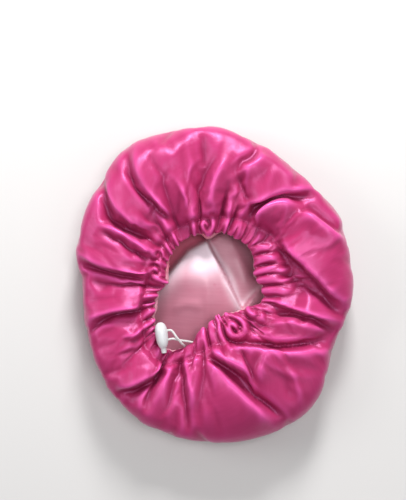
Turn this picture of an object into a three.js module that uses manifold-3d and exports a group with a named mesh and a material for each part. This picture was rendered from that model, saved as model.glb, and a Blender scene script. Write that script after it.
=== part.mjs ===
// A satin bonnet lying on its crown, with its gathered opening facing up.
// An outer layer of bright satin and a pale lining meet at the opening, where an elastic drawcord runs
// between them and comes out to a toggle. Millimetres, +Z up, origin under the middle of the crown.
import * as THREE from "three";
import { mergeVertices } from "three/addons/utils/BufferGeometryUtils.js";
import Module from "manifold-3d";

const wasm = await Module();
wasm.setup();

const { sin, cos, exp, hypot, min, max, PI } = Math;
const radians = THREE.MathUtils.degToRad;
const FULL_TURN = 360;
const AROUND = 1;

// Turns a short table into rows with named columns.
function table(columns, values) {
  const names = columns.split(" ");
  return values.map((row) => Object.fromEntries(names.map((name, i) => [name, row[i]])));
}

// Driving dimensions
const SATIN = 1.2;
const LINING_CLOTH = 1.0;
const CORD_DIAMETER = 1.8;
const CLEARANCE = 0.5;
const GATHERS = 48;
const GATHER_HEIGHT = 1.6;
const RUFFLE = 1.2;
const CASING_GROOVE = 1.2;
const PUFF_HEIGHT = 3.0;
const PLEATS = GATHERS / 2;
const PLEAT_HEIGHT = 2.2;
const DEEPEST_VALLEY = 6.0;
const VALLEY_AT_RIM = 1.3;
const HIGHEST_RIDGE = 8.0;

// Plan of the lying bonnet: how far its puffed edge lies from the origin.
const OUTLINE = table("angle radius", [
  [0, 112.0], [15, 112.7], [30, 116.0], [45, 113.2], [60, 116.0], [75, 121.3],
  [90, 128.3], [105, 130.1], [120, 133.1], [135, 126.0], [150, 121.3], [165, 115.9],
  [180, 107.5], [195, 109.3], [210, 114.0], [225, 120.5], [240, 125.1], [255, 127.6],
  [270, 128.3], [285, 128.4], [300, 128.9], [315, 122.8], [330, 109.5], [345, 110.0],
]);

// Plan of the gathered opening, about its own centre, and how wide the gathered band beside it is.
const OPENING_CENTRE = new THREE.Vector2(-6, -4);
const OPENING = table("angle radius band", [
  [0, 47.5, 23.0], [15, 44.7, 22.4], [30, 46.2, 20.8], [45, 48.2, 17.2],
  [60, 49.4, 14.0], [75, 49.6, 11.0], [90, 47.8, 10.3], [105, 46.3, 9.7],
  [120, 45.1, 9.0], [135, 41.9, 9.3], [150, 37.8, 9.6], [165, 36.4, 9.9],
  [180, 39.6, 9.8], [195, 44.7, 9.6], [210, 50.5, 9.3], [225, 58.0, 9.1],
  [240, 57.0, 9.8], [255, 44.6, 10.9], [270, 33.5, 12.0], [285, 27.5, 16.2],
  [300, 26.6, 18.8], [315, 28.5, 18.3], [330, 34.4, 19.0], [345, 45.0, 22.0],
]);

// One cut through the cloth from the opening's rim, over the puffed front and round the edge, to the
// middle of the crown. On the front a share of 1 is the outline and 0 the opening. On the back it is
// a share of the outline's radius. The lining lies its drop inside the outer layer.
const SECTION = table("front share height drop", [
  [1, 0.0, 31, 3.4],
  [1, 0.08, 32.5, 6.6],
  [1, 0.16, 33, 8.0],
  [1, 0.26, 33.8, 8.6],
  [1, 0.4, 35.5, 8.6],
  [1, 0.56, 37, 8.6],
  [1, 0.72, 37.2, 8.6],
  [1, 0.86, 35.4, 8.0],
  [1, 0.96, 29.5, 7.0],
  [1, 1.0, 18.5, 6.5],
  [0, 0.975, 9.5, 5.5],
  [0, 0.91, 3.6, 4.5],
  [0, 0.82, 0.8, 2.8],
  [0, 0.72, 0, 2.2],
  [0, 0.4, 0, 2.2],
  [0, 0.0, 0, 2.2],
]);
const EDGE_STATION = 9;
const CENTRE_STATION = SECTION.length - 1;

// The main folds of the front. Each runs as a curve through three places, given as an angle and a
// share between opening and outline. A ridge has a positive height and a crease a negative one, and
// lean moves the steep side to the left (positive) or right of the way from first to last place.
const FOLDS = table("name a0 s0 a1 s1 a2 s2 height width lean", [
  ["top_crease", 94, 0.99, 94, 0.61, 93, 0.18, -8.0, 4.5, 0.0],
  ["top_puff_right", 84, 0.73, 88, 0.48, 92, 0.2, 5.0, 5.0, -0.2],
  ["top_puff_left", 107, 0.55, 104, 0.32, 103, 0.07, 3.5, 5.0, 0.0],
  ["crown_ridge_left", 118, 0.99, 122, 0.67, 112, 0.18, 8.0, 4.5, -0.3],
  ["left_brow", 122, 1.03, 136, 0.86, 132, 0.19, 10.0, 5.5, -0.4],
  ["left_brow_shadow", 146, 0.88, 143, 0.58, 140, 0.2, -6.0, 6.0, 0.0],
  ["left_upper", 150, 0.78, 148, 0.48, 148, 0.15, 6.5, 4.0, -0.3],
  ["left_middle", 166, 0.98, 166, 0.61, 160, 0.08, 8.5, 4.5, -0.4],
  ["left_middle_crease", 178, 0.97, 178, 0.6, 175, 0.22, -4.0, 7.0, 0.0],
  ["left_lower", 200, 1.06, 192, 0.7, 193, 0.04, 8.5, 4.5, -0.35],
  ["left_lower_small", 209, 0.56, 209, 0.27, 210, 0.01, 5.0, 4.0, -0.2],
  ["bottom_left", 224, 0.92, 231, 0.5, 238, 0.12, 9.0, 5.0, -0.4],
  ["bottom_left_crease", 242, 0.85, 240, 0.54, 239, 0.25, -3.5, 5.0, 0.0],
  ["bottom_left_broad", 240, 0.94, 238, 0.69, 235, 0.49, 3.0, 5.0, 0.0],
  ["bottom_crease", 261, 0.94, 255, 0.47, 246, 0.07, -7.5, 4.5, 0.0],
  ["bottom_short_ridge", 263, 0.66, 257, 0.37, 250, 0.1, 4.5, 4.0, 0.0],
  ["bottom_sweep", 294, 0.99, 284, 0.62, 262, 0.2, 11.0, 6.0, -0.45],
  ["bottom_sweep_crease", 291, 0.7, 282, 0.52, 271, 0.34, -8.0, 4.0, 0.0],
  ["bottom_hook", 299, 0.49, 286, 0.34, 270, 0.14, 8.0, 4.5, 0.15],
  ["lower_right_edge", 333, 1.0, 318, 0.56, 282, 0.21, 9.5, 5.0, -0.4],
  ["lower_right_crease", 344, 0.99, 334, 0.83, 322, 0.59, -7.0, 6.0, 0.0],
  ["lower_right_lobe", 296, 0.58, 306, 0.46, 317, 0.57, 5.5, 4.0, 0.2],
  ["lower_right_pleat", 304, 0.92, 310, 0.76, 314, 0.6, 4.0, 4.0, 0.2],
  ["right_lower", 343, 1.01, 348, 0.45, 348, 0.05, 7.5, 5.0, 0.3],
  ["right_lower_second", 338, 0.92, 337, 0.55, 330, 0.24, 3.5, 5.0, 0.2],
  ["right_valley", 354, 0.74, 2, 0.43, 19, 0.31, -7.0, 6.0, 0.0],
  ["right_sweep", 347, 1.07, 10, 0.57, 36, 0.33, 11.0, 6.0, 0.45],
  ["right_panel_edge", 42, 0.67, 52, 0.53, 55, 0.21, 10.0, 5.0, -0.45],
  ["right_panel_edge_outer", 16, 0.99, 27, 0.75, 42, 0.66, 11.0, 5.5, -0.45],
  ["right_hollow", 25, 0.96, 41, 0.85, 58, 0.42, -8.0, 7.0, 0.0],
  ["right_brim_outer", 19, 1.02, 31, 1.05, 42, 1.0, 7.0, 3.5, 0.3],
  ["right_brim", 42, 1.0, 54, 0.69, 68, 0.36, 9.0, 4.5, 0.35],
  ["upper_right_ridge", 72, 1.03, 70, 0.82, 78, 0.58, 8.0, 4.5, -0.25],
  ["upper_right_fold", 71, 0.94, 63, 0.91, 51, 0.87, 6.0, 4.0, 0.25],
  ["upper_right_crease", 79, 0.57, 73, 0.48, 66, 0.36, -4.5, 4.5, 0.0],
]);
const FOLD_POINTS = 9;
const FOLD_FADE = 0.22;
const FOLD_ROUNDNESS = 1.6;

// The lining's crown is pushed up behind the left of the opening. Its brink runs from an apex down to
// a notch and back up to the right, and the crown lies low inside that wedge.
const WEDGE_APEX = new THREE.Vector2(-5.6, 40);
const WEDGE_NOTCH = new THREE.Vector2(22.4, -20.2);
const WEDGE_RIGHT = new THREE.Vector2(40, -1);
const BULGE_CENTRE = new THREE.Vector2(-8, -4);
const BULGE_HEIGHT = 15;
const BULGE_REACH = 84;
const BRINK_SOFTNESS = 7;
const BRINK_LIFT = 3;

// Toggle and cord
const TOGGLE_CENTRE = new THREE.Vector3(-42.6, -40.2, 38.8);
const TOGGLE_TURN = radians(8);
const TOGGLE_LENGTH = 22;
const TOGGLE_WIDTH = 10;
const TOGGLE_DEPTH = 12;
const TOGGLE_TIP_RADIUS = 2.3;
const TOGGLE_TIP_LENGTH = 3;
const CORD_HOLE_SPACING = 7.4;
const CORD_HOLE_DEPTH = 7;
const CASING_DEPTH = 4.6;
const EXIT_ANGLE = 252;
const EXIT_WIDTH = 11;
const EXIT_DIP = 4.0;

// A smooth closed curve through one column of a table, read at any angle.
function readAt(rows, angle, column = "radius") {
  const step = FULL_TURN / rows.length;
  const turn = (((angle % FULL_TURN) + FULL_TURN) % FULL_TURN) / step;
  const i = Math.floor(turn);
  const [before, here, next, after] = [-1, 0, 1, 2].map(
    (k) => rows[(i + k + rows.length) % rows.length][column],
  );
  const f = turn - i;
  const bend = 2 * before - 5 * here + 4 * next - after;
  const twist = 3 * here - before - 3 * next + after;
  return 0.5 * (2 * here + (next - before) * f + bend * f * f + twist * f ** 3);
}

function onOutline(angle, share = 1) {
  const r = readAt(OUTLINE, angle) * share;
  return new THREE.Vector2(r * cos(radians(angle)), r * sin(radians(angle)));
}

function onOpening(angle) {
  const r = readAt(OPENING, angle);
  return new THREE.Vector2(r * cos(radians(angle)), r * sin(radians(angle))).add(OPENING_CENTRE);
}

function onFront(angle, share) {
  return onOpening(angle).lerp(onOutline(angle), share);
}

// The section's values at a station, which may lie between two rows.
function sectionAt(station) {
  const i = min(Math.floor(station), CENTRE_STATION - 1);
  const f = station - i;
  const [a, b] = [SECTION[i], SECTION[i + 1]];
  const mix = (name) => a[name] + (b[name] - a[name]) * f;
  const front = station <= EDGE_STATION;
  const share = front || a.front === b.front ? mix("share") : 1 + (b.share - 1) * f;
  return { front, share, height: mix("height"), drop: mix("drop") };
}

// A point of the smooth form, without folds.
function smoothPoint(angle, station) {
  const { front, share, height } = sectionAt(station);
  const plan = front ? onFront(angle, share) : onOutline(angle, share);
  return new THREE.Vector3(plan.x, plan.y, height);
}

// The way out of the smooth form at a point.
function outwards(angle, station) {
  if (station >= CENTRE_STATION) return new THREE.Vector3(0, 0, -1);
  const before = smoothPoint(angle, max(station - 0.5, 0));
  const after = smoothPoint(angle, min(station + 0.5, CENTRE_STATION));
  const left = smoothPoint(angle - AROUND, station);
  const right = smoothPoint(angle + AROUND, station);
  return after.sub(before).cross(right.sub(left)).normalize();
}

function smoothStep(x) {
  const t = min(max(x, 0), 1);
  return t * t * (3 - 2 * t);
}

// Each fold's line in plan, as the quadratic curve that passes through its three places.
const foldLines = FOLDS.map((fold) => {
  const [first, middle, last] = [0, 1, 2].map((k) => onFront(fold["a" + k], fold["s" + k]));
  const handle = middle.clone().multiplyScalar(2).sub(first.clone().add(last).multiplyScalar(0.5));
  return new THREE.QuadraticBezierCurve(first, handle, last).getPoints(FOLD_POINTS);
});

// How far a place in plan lies from a line, with the side as its sign, and the share of the way along.
function besideLine(place, line) {
  let best = { distance: Infinity, along: 0 };
  for (let i = 0; i + 1 < line.length; i++) {
    const way = line[i + 1].clone().sub(line[i]);
    const from = place.clone().sub(line[i]);
    const t = min(max(from.dot(way) / way.lengthSq(), 0), 1);
    const distance = from.clone().addScaledVector(way, -t).length();
    if (distance < Math.abs(best.distance)) {
      const side = Math.sign(way.cross(from)) || 1;
      best = { distance: side * distance, along: (i + t) / (line.length - 1) };
    }
  }
  return best;
}

// Height that all folds together add at a place in plan.
function foldsAt(place) {
  let total = 0;
  FOLDS.forEach((fold, i) => {
    const { distance, along } = besideLine(place, foldLines[i]);
    const width = fold.width * (1 - Math.sign(distance) * fold.lean);
    const ends = smoothStep(along / FOLD_FADE) * smoothStep((1 - along) / FOLD_FADE);
    total += fold.height * (0.25 + 0.75 * ends) * exp(-((Math.abs(distance) / width) ** FOLD_ROUNDNESS));
  });
  return total;
}

// Height of the casing: gathers that the drawcord pulls in as far as the stitch line, a groove at that
// line, and the puff of cloth that starts behind it. Two gathers always run into one wider pleat.
function casingAt(angle, share) {
  const across = onOpening(angle).distanceTo(onOutline(angle));
  const place = (share * across) / readAt(OPENING, angle, "band");
  const gathers = GATHER_HEIGHT * (1 - smoothStep((place - 0.8) / 0.6)) * cos(radians(angle) * GATHERS);
  const groove = CASING_GROOVE * exp(-(((place - 1.05) / 0.2) ** 2));
  const puff = PUFF_HEIGHT * smoothStep((place - 1.05) / 0.6) * (1 - smoothStep((share - 0.35) / 0.4));
  const pleatEnds = smoothStep(share / 0.14) * (1 - smoothStep((share - 0.18) / 0.36));
  const pleats = PLEAT_HEIGHT * pleatEnds * cos(radians(angle) * PLEATS);
  return gathers + pleats - groove + puff;
}

// Keeps a height between the highest ridge and the deepest valley, which is shallow at the rim.
function withinLimits(height, share) {
  const deepest = VALLEY_AT_RIM + (DEEPEST_VALLEY - VALLEY_AT_RIM) * smoothStep((share - 0.02) / 0.26);
  const limit = height > 0 ? HIGHEST_RIDGE : deepest;
  return limit * Math.tanh(height / limit);
}

function satinPoint(angle, station, depth) {
  const { front, share } = sectionAt(station);
  const point = smoothPoint(angle, station);
  const way = outwards(angle, station);
  if (!front) {
    const fade = smoothStep(1 - (station - EDGE_STATION) / 3);
    const folds = foldsAt(onFront(angle, 0.97));
    return point.addScaledVector(way, 0.3 * fade * withinLimits(min(folds, 0), 1) - depth);
  }
  const nearEdge = smoothStep((1 - share) / 0.3);
  const folds = foldsAt(new THREE.Vector2(point.x, point.y)) * (0.3 + 0.7 * nearEdge);
  const nearRim = smoothStep(share / 0.2);
  const inwards = onOpening(angle).sub(onOutline(angle)).normalize();
  const ruffle = RUFFLE * max(0, 1 - share / 0.12) * sin(radians(angle) * GATHERS);
  point.x += inwards.x * ruffle;
  point.y += inwards.y * ruffle;
  const shape = share > 0.9 ? min(folds, 1.2) : folds;
  const height = shape * (0.15 + 0.85 * nearRim) + casingAt(angle, share);
  return point.addScaledVector(way, withinLimits(height, share) - depth);
}

// How far the lining's crown is pushed up at a place in plan.
function bulgeAt(place) {
  const beside = (from, to) => {
    const way = to.clone().sub(from).normalize();
    return way.cross(place.clone().sub(from));
  };
  const insideLeft = smoothStep(0.5 + beside(WEDGE_APEX, WEDGE_NOTCH) / BRINK_SOFTNESS);
  const insideRight = smoothStep(0.5 + beside(WEDGE_NOTCH, WEDGE_RIGHT) / BRINK_SOFTNESS);
  const away = place.distanceTo(BULGE_CENTRE) / BULGE_REACH;
  const dome = smoothStep(1 - away);
  const brink = exp(-((beside(WEDGE_APEX, WEDGE_NOTCH) / BRINK_SOFTNESS) ** 2));
  return dome * (BULGE_HEIGHT * (1 - insideLeft * insideRight) + BRINK_LIFT * brink);
}

// The lining's rim dips where the cord comes out of the casing.
function exitDip(angle, station) {
  const aside = (angle - EXIT_ANGLE) / EXIT_WIDTH;
  return EXIT_DIP * exp(-aside * aside) * smoothStep(2 - station);
}

function liningPoint(angle, station, depth) {
  const { front, drop } = sectionAt(station);
  const point = smoothPoint(angle, station);
  point.addScaledVector(outwards(angle, station), -drop - exitDip(angle, station) - depth);
  if (!front) point.z += bulgeAt(new THREE.Vector2(point.x, point.y));
  return point;
}

// One closed wall of cloth between two skins, from an open rim to a middle point. Rings give each
// row's station and number of columns, which may halve from one row to the next.
function clothWall(rings, thickness, pointAt) {
  const positions = [];
  const faces = [];
  const skinOf = (depth) => {
    const starts = rings.map(({ station, columns }) => {
      const start = positions.length / 3;
      for (let i = 0; i < columns; i++) {
        positions.push(...pointAt((i * FULL_TURN) / columns, station, depth));
      }
      return start;
    });
    const pole = positions.length / 3;
    positions.push(...pointAt(0, CENTRE_STATION, depth));
    return { starts, pole };
  };
  const face = (inner, a, b, c) => faces.push(...(inner ? [a, c, b] : [a, b, c]));
  const skin = (depth, inner) => {
    const { starts, pole } = skinOf(depth);
    rings.forEach(({ columns }, k) => {
      for (let i = 0; i < columns; i++) {
        const here = starts[k] + i;
        const next = starts[k] + ((i + 1) % columns);
        if (k === rings.length - 1) {
          face(inner, here, pole, next);
          continue;
        }
        const below = rings[k + 1].columns;
        const under = (n) => starts[k + 1] + (n % below);
        if (below === columns) {
          face(inner, here, under(i), under(i + 1));
          face(inner, here, under(i + 1), next);
        } else if (i % 2 === 0) {
          face(inner, here, under(i / 2), next);
        } else {
          face(inner, here, under((i - 1) / 2), under((i + 1) / 2));
          face(inner, here, under((i + 1) / 2), next);
        }
      }
    });
    return starts[0];
  };
  const top = skin(0, false);
  const bottom = skin(thickness, true);
  const { columns } = rings[0];
  for (let i = 0; i < columns; i++) {
    const j = (i + 1) % columns;
    faces.push(top + i, top + j, bottom + j, top + i, bottom + j, bottom + i);
  }
  const geometry = new THREE.BufferGeometry();
  geometry.setAttribute("position", new THREE.Float32BufferAttribute(positions, 3));
  geometry.setIndex(faces);
  return geometry;
}

function rowsOf(stations, columns) {
  return stations.map((station) => ({ station, columns }));
}

// Outer satin: fine columns over the folded front, half as many over the plain back.
const FRONT_COLUMNS = 144;
const satin = clothWall(
  [
    ...rowsOf([0, 1, 2, 3, 4, 5, 6, 7, 8, 9], FRONT_COLUMNS),
    ...rowsOf([10, 11, 12, 13], FRONT_COLUMNS / 2),
  ],
  SATIN,
  satinPoint,
);

// Lining: coarse round the edge, with closer rows on the crown where it shows through the opening.
const LINING_COLUMNS = 56;
const lining = clothWall(
  rowsOf([0, 1, 2.5, 5, 7.5, 9, 10.5, 13, 13.5, 13.9, 14.2, 14.45, 14.7, 14.85], LINING_COLUMNS),
  LINING_CLOTH,
  liningPoint,
);

// A solid of the boolean library from a closed geometry, and back again.
function solidOf(geometry) {
  const bare = geometry.clone();
  bare.deleteAttribute("normal");
  bare.deleteAttribute("uv");
  const merged = mergeVertices(bare, 1e-4);
  return new wasm.Manifold(
    new wasm.Mesh({
      numProp: 3,
      vertProperties: new Float32Array(merged.attributes.position.array),
      triVerts: new Uint32Array(merged.index.array),
    }),
  );
}

function geometryOf(solid) {
  const { vertProperties, triVerts } = solid.getMesh();
  const geometry = new THREE.BufferGeometry();
  geometry.setAttribute("position", new THREE.Float32BufferAttribute(vertProperties, 3));
  geometry.setIndex(Array.from(triVerts));
  return geometry;
}

// Toggle: an egg-shaped bead with a short tip, flattened a little, and two holes for the cord's ends.
function toggleGeometry() {
  const half = TOGGLE_LENGTH / 2;
  const profile = [];
  const steps = 12;
  for (let i = 0; i <= steps; i++) {
    const y = -cos((PI * i) / steps);
    const taper = 1 + 0.1 * y;
    profile.push(new THREE.Vector2((TOGGLE_WIDTH / 2) * taper * (1 - Math.abs(y) ** 2.6) ** (1 / 2.2), half * y));
  }
  profile[0].x = 0;
  profile[steps].x = 0;
  const body = solidOf(new THREE.LatheGeometry(profile, 20).scale(1, 1, TOGGLE_DEPTH / TOGGLE_WIDTH));
  const tip = new THREE.CylinderGeometry(TOGGLE_TIP_RADIUS, TOGGLE_TIP_RADIUS * 0.9, TOGGLE_TIP_LENGTH * 2, 14);
  let solid = body.add(solidOf(tip.translate(0, -half, 0)));
  for (const side of [-1, 1]) {
    const hole = new THREE.CylinderGeometry(CORD_DIAMETER / 2 + CLEARANCE, CORD_DIAMETER / 2 + CLEARANCE, CORD_HOLE_DEPTH * 2, 12);
    hole.rotateZ(PI / 2).translate(TOGGLE_WIDTH / 2 + 0.5, (side * CORD_HOLE_SPACING) / 2, 0);
    solid = solid.subtract(solidOf(hole));
  }
  return geometryOf(solid);
}

// Drawcord: from the toggle's upper hole over to the rim, once round inside the casing, and back to
// the lower hole. The free ends are placed by hand, and the stretch in the casing follows the opening.
const inToggle = (x, y) =>
  new THREE.Vector3(x, y, 0).applyAxisAngle(new THREE.Vector3(0, 0, 1), TOGGLE_TURN).add(TOGGLE_CENTRE);
const inCasing = (angle, station = 1, depth = CASING_DEPTH) =>
  smoothPoint(angle, station).addScaledVector(outwards(angle, station), -depth);
const CASING_START = 236;
const CASING_END = -92;
const CASING_STEP = 11;
const route = [
  inToggle(0.5, CORD_HOLE_SPACING / 2),
  inToggle(4.5, CORD_HOLE_SPACING / 2),
  inToggle(8.0, CORD_HOLE_SPACING / 2 - 0.4),
  new THREE.Vector3(-30.6, -41.4, 39.0),
  new THREE.Vector3(-26.6, -46.6, 35.6),
  new THREE.Vector3(-24.6, -49.0, 29.2),
  inCasing(250, 0.3, 5.6),
  inCasing(248.5, 0.85, 4.9),
];
for (let angle = CASING_START; angle > CASING_END; angle -= CASING_STEP) route.push(inCasing(angle));
route.push(
  inCasing(CASING_END),
  inCasing(260, 0.4, 5.4),
  new THREE.Vector3(-18.8, -46.0, 28.6),
  new THREE.Vector3(-23.6, -44.8, 32.6),
  new THREE.Vector3(-28.8, -43.8, 36.2),
  inToggle(8.4, -CORD_HOLE_SPACING / 2 + 0.2),
  inToggle(4.5, -CORD_HOLE_SPACING / 2),
  inToggle(0.5, -CORD_HOLE_SPACING / 2),
);
const cordPath = new THREE.CatmullRomCurve3(route, false, "centripetal");
const CORD_SIDES = 8;
const CORD_STEPS = 76;
const cordSection = new THREE.Shape(
  Array.from({ length: CORD_SIDES }, (_, i) => {
    const turn = (2 * PI * i) / CORD_SIDES;
    return new THREE.Vector2((CORD_DIAMETER / 2) * cos(turn), (CORD_DIAMETER / 2) * sin(turn));
  }),
);
const drawcord = new THREE.ExtrudeGeometry(cordSection, { steps: CORD_STEPS, extrudePath: cordPath });
console.log("drawcord length " + cordPath.getLength().toFixed(1) + " mm");

const hotPink = new THREE.MeshStandardMaterial({ color: 0xd02f78, roughness: 0.35, metalness: 0 });
const palePink = new THREE.MeshStandardMaterial({ color: 0xe9b4c4, roughness: 0.4, metalness: 0 });
const cordWhite = new THREE.MeshStandardMaterial({ color: 0xf2edec, roughness: 0.8, metalness: 0 });
const toggleWhite = new THREE.MeshStandardMaterial({ color: 0xf4f4f2, roughness: 0.3, metalness: 0 });

function named(name, geometry, material) {
  const mesh = new THREE.Mesh(geometry, material);
  mesh.name = name;
  return mesh;
}

const bonnet = new THREE.Group();
bonnet.add(named("outer_satin", satin, hotPink));
bonnet.add(named("lining", lining, palePink));
bonnet.add(named("drawcord", drawcord, cordWhite));
const toggle = named("toggle", toggleGeometry(), toggleWhite);
toggle.position.copy(TOGGLE_CENTRE);
toggle.rotation.z = TOGGLE_TURN;
bonnet.add(toggle);

export default bonnet;
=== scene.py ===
# %% [markdown]
# A satin bonnet, lying on its crown with the gathered opening facing up.
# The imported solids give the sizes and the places. This lesson dresses them with cloth, cord and
# plastic. Everything is in metres in the end, but the tables are in millimetres, as a maker
# would write them down.

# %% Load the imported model
import bpy
import numpy as np
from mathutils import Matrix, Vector


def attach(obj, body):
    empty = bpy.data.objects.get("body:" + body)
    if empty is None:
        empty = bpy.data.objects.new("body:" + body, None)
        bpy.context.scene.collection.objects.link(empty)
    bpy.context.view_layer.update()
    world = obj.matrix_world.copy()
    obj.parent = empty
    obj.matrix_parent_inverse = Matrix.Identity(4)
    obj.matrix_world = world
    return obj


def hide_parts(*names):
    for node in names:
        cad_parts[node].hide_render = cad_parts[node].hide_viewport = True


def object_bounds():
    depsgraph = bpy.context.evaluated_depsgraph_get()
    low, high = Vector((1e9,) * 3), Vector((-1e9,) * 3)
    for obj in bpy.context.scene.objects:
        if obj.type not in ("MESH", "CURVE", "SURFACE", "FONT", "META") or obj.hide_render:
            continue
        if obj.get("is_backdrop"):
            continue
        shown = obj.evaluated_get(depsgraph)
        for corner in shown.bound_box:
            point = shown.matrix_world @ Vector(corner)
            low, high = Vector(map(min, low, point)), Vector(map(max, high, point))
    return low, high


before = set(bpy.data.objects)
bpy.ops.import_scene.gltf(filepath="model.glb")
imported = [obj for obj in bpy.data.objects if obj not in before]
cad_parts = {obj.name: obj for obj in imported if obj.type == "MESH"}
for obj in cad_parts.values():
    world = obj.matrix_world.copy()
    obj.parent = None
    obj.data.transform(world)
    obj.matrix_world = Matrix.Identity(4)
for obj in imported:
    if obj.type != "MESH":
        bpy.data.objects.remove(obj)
cad_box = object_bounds()
MM = 0.001
print("cad box", [tuple(round(value, 4) for value in corner) for corner in cad_box])

# %% [markdown]
# The camera comes first, because every later choice is judged through it. The photograph looks
# straight at the opening, so the camera stands above the bonnet and looks down. The scale of the
# photograph, in metres per pixel, sets the lens: a sensor as long as the picture's long side.

# %% Camera
PHOTO_HEIGHT = 500
METRES_PER_PIXEL = 0.0008
VIEW_CENTRE = (-0.0096, 0.0286)
CAMERA_HEIGHT = 1.0
CLOTH_LEVEL = 0.04
SENSOR = 24.0


def add_object(name, data):
    """An object for a camera, a light, a mesh or a curve, placed in the scene."""
    placed = bpy.data.objects.new(name, data)
    bpy.context.scene.collection.objects.link(placed)
    return placed


camera_data = bpy.data.cameras.new("camera")
camera_data.sensor_width = SENSOR
camera_data.lens = SENSOR * (CAMERA_HEIGHT - CLOTH_LEVEL) / (PHOTO_HEIGHT * METRES_PER_PIXEL)
camera = add_object("camera", camera_data)
camera.location = (*VIEW_CENTRE, CAMERA_HEIGHT)
bpy.context.scene.camera = camera
print("lens", round(camera_data.lens, 1), "mm")

# %% [markdown]
# Satin shows its folds through reflections, so the light matters as much as the shape. One window
# of light stands at the top of the picture and a weaker one at the left. A soft one hangs over the
# bonnet and shows the faces between the folds, and a faint one fills the lower right.

# %% Lights
LIGHTS = [
    # place, size, watts
    ((0.1, 1.0, 0.62), 0.3, 17.5),
    ((-0.9, 0.2, 0.6), 0.5, 4.0),
    ((0.25, 0.1, 1.25), 0.5, 6.5),
    ((0.7, -0.6, 0.9), 0.7, 1.5),
]
LIGHT_TARGET = Vector((0, 0, 0.03))
ROOM_COLOUR = (0.75, 0.75, 0.78, 1)
ROOM_STRENGTH = 0.38

for index, (place, size, watts) in enumerate(LIGHTS):
    light_data = bpy.data.lights.new(f"light_{index}", "AREA")
    light_data.size = size
    light_data.energy = watts
    light = add_object(f"light_{index}", light_data)
    light.location = place
    light.rotation_euler = (LIGHT_TARGET - Vector(place)).to_track_quat("-Z", "Y").to_euler()

world = bpy.data.worlds.new("room")
world.use_nodes = True
background = world.node_tree.nodes["Background"]
background.inputs["Color"].default_value = ROOM_COLOUR
background.inputs["Strength"].default_value = ROOM_STRENGTH
bpy.context.scene.world = world
bpy.context.scene.view_settings.view_transform = "Standard"
print(len(LIGHTS), "lights")

# %% [markdown]
# The floor is plain and pale, a hair below the bonnet. A mark on it says that it isn't part of the object.

# %% Floor
FLOOR_HALF = 2.0
FLOOR_GAP = 0.0004


def add_mesh(name, points, faces):
    """A mesh object from points in metres and faces."""
    mesh = bpy.data.meshes.new(name)
    mesh.from_pydata(np.asarray(points, float).tolist(), [], faces)
    return add_object(name, mesh)


floor_corners = [(-1, -1), (1, -1), (1, 1), (-1, 1)]
floor_points = [(x * FLOOR_HALF, y * FLOOR_HALF, -FLOOR_GAP) for x, y in floor_corners]
floor = add_mesh("floor", floor_points, [(0, 1, 2, 3)])
floor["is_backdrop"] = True
print("floor", 2 * FLOOR_HALF, "m wide")

# %% [markdown]
# The bonnet's form is worked out from two closed curves seen from above, the puffed edge and the
# gathered opening, and one section from the rim over the front and round the edge to the crown.
# Both curves are short tables of radii, one every fifteen degrees, with a smooth line through them.

# %% Plan of the bonnet
OUTLINE = [
    112.0, 112.7, 116.0, 113.2, 116.0, 121.3, 128.3, 130.1, 133.1, 126.0, 121.3, 115.9,
    107.5, 109.3, 114.0, 120.5, 125.1, 127.6, 128.3, 128.4, 128.9, 122.8, 109.5, 110.0,
]
OPENING = [
    47.5, 44.7, 46.2, 48.2, 49.4, 49.6, 47.8, 46.3, 45.1, 41.9, 37.8, 36.4,
    39.6, 44.7, 50.5, 58.0, 57.0, 44.6, 33.5, 27.5, 26.6, 28.5, 34.4, 45.0,
]
BAND = [
    23.0, 22.4, 20.8, 17.2, 14.0, 11.0, 10.3, 9.7, 9.0, 9.3, 9.6, 9.9,
    9.8, 9.6, 9.3, 9.1, 9.8, 10.9, 12.0, 16.2, 18.8, 18.3, 19.0, 22.0,
]
OPENING_CENTRE = np.array([-6.0, -4.0])
STEP = 15.0


def spline_value(before, here, after, beyond, part):
    """A place between here and after, on the smooth line through all four values."""
    bend = 2 * before - 5 * here + 4 * after - beyond
    twist = 3 * here - before - 3 * after + beyond
    return 0.5 * (2 * here + (after - before) * part + bend * part**2 + twist * part**3)


def through(values, places):
    """A smooth closed curve through evenly spaced values, read at any places."""
    values = np.asarray(values, float)
    first = np.floor(places).astype(int)
    four = (values[(first + k) % len(values)] for k in (-1, 0, 1, 2))
    return spline_value(*four, places - first)


def on_ring(radii, angles):
    """Points in plan on a closed curve, in millimetres, at angles in degrees."""
    radius = through(radii, np.asarray(angles, float) / STEP)
    turn = np.radians(angles)
    return np.stack([radius * np.cos(turn), radius * np.sin(turn)], -1)


def on_outline(angles):
    """Points of the puffed edge."""
    return on_ring(OUTLINE, angles)


def on_opening(angles):
    """Points of the gathered opening."""
    return on_ring(OPENING, angles) + OPENING_CENTRE


def on_front(angle, share):
    """A place on the front: share 0 is the opening and share 1 the puffed edge."""
    return on_opening(angle) * (1 - share) + on_outline(angle) * share


outline_size = np.ptp(on_outline(np.arange(360)), axis=0)
print("plan", outline_size.round(1), "mm")

# %% [markdown]
# A section's rows are rings of points. Where front is 1 the share runs from the opening to the
# edge, and where it is 0 the ring is a share of the outline. A smooth curve through the rings
# gives the skin at any station between two rows. The first two rows of the satin roll the cloth
# over at the rim, and the lining starts just inside that roll, so that its pale edge peeps out.

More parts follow.
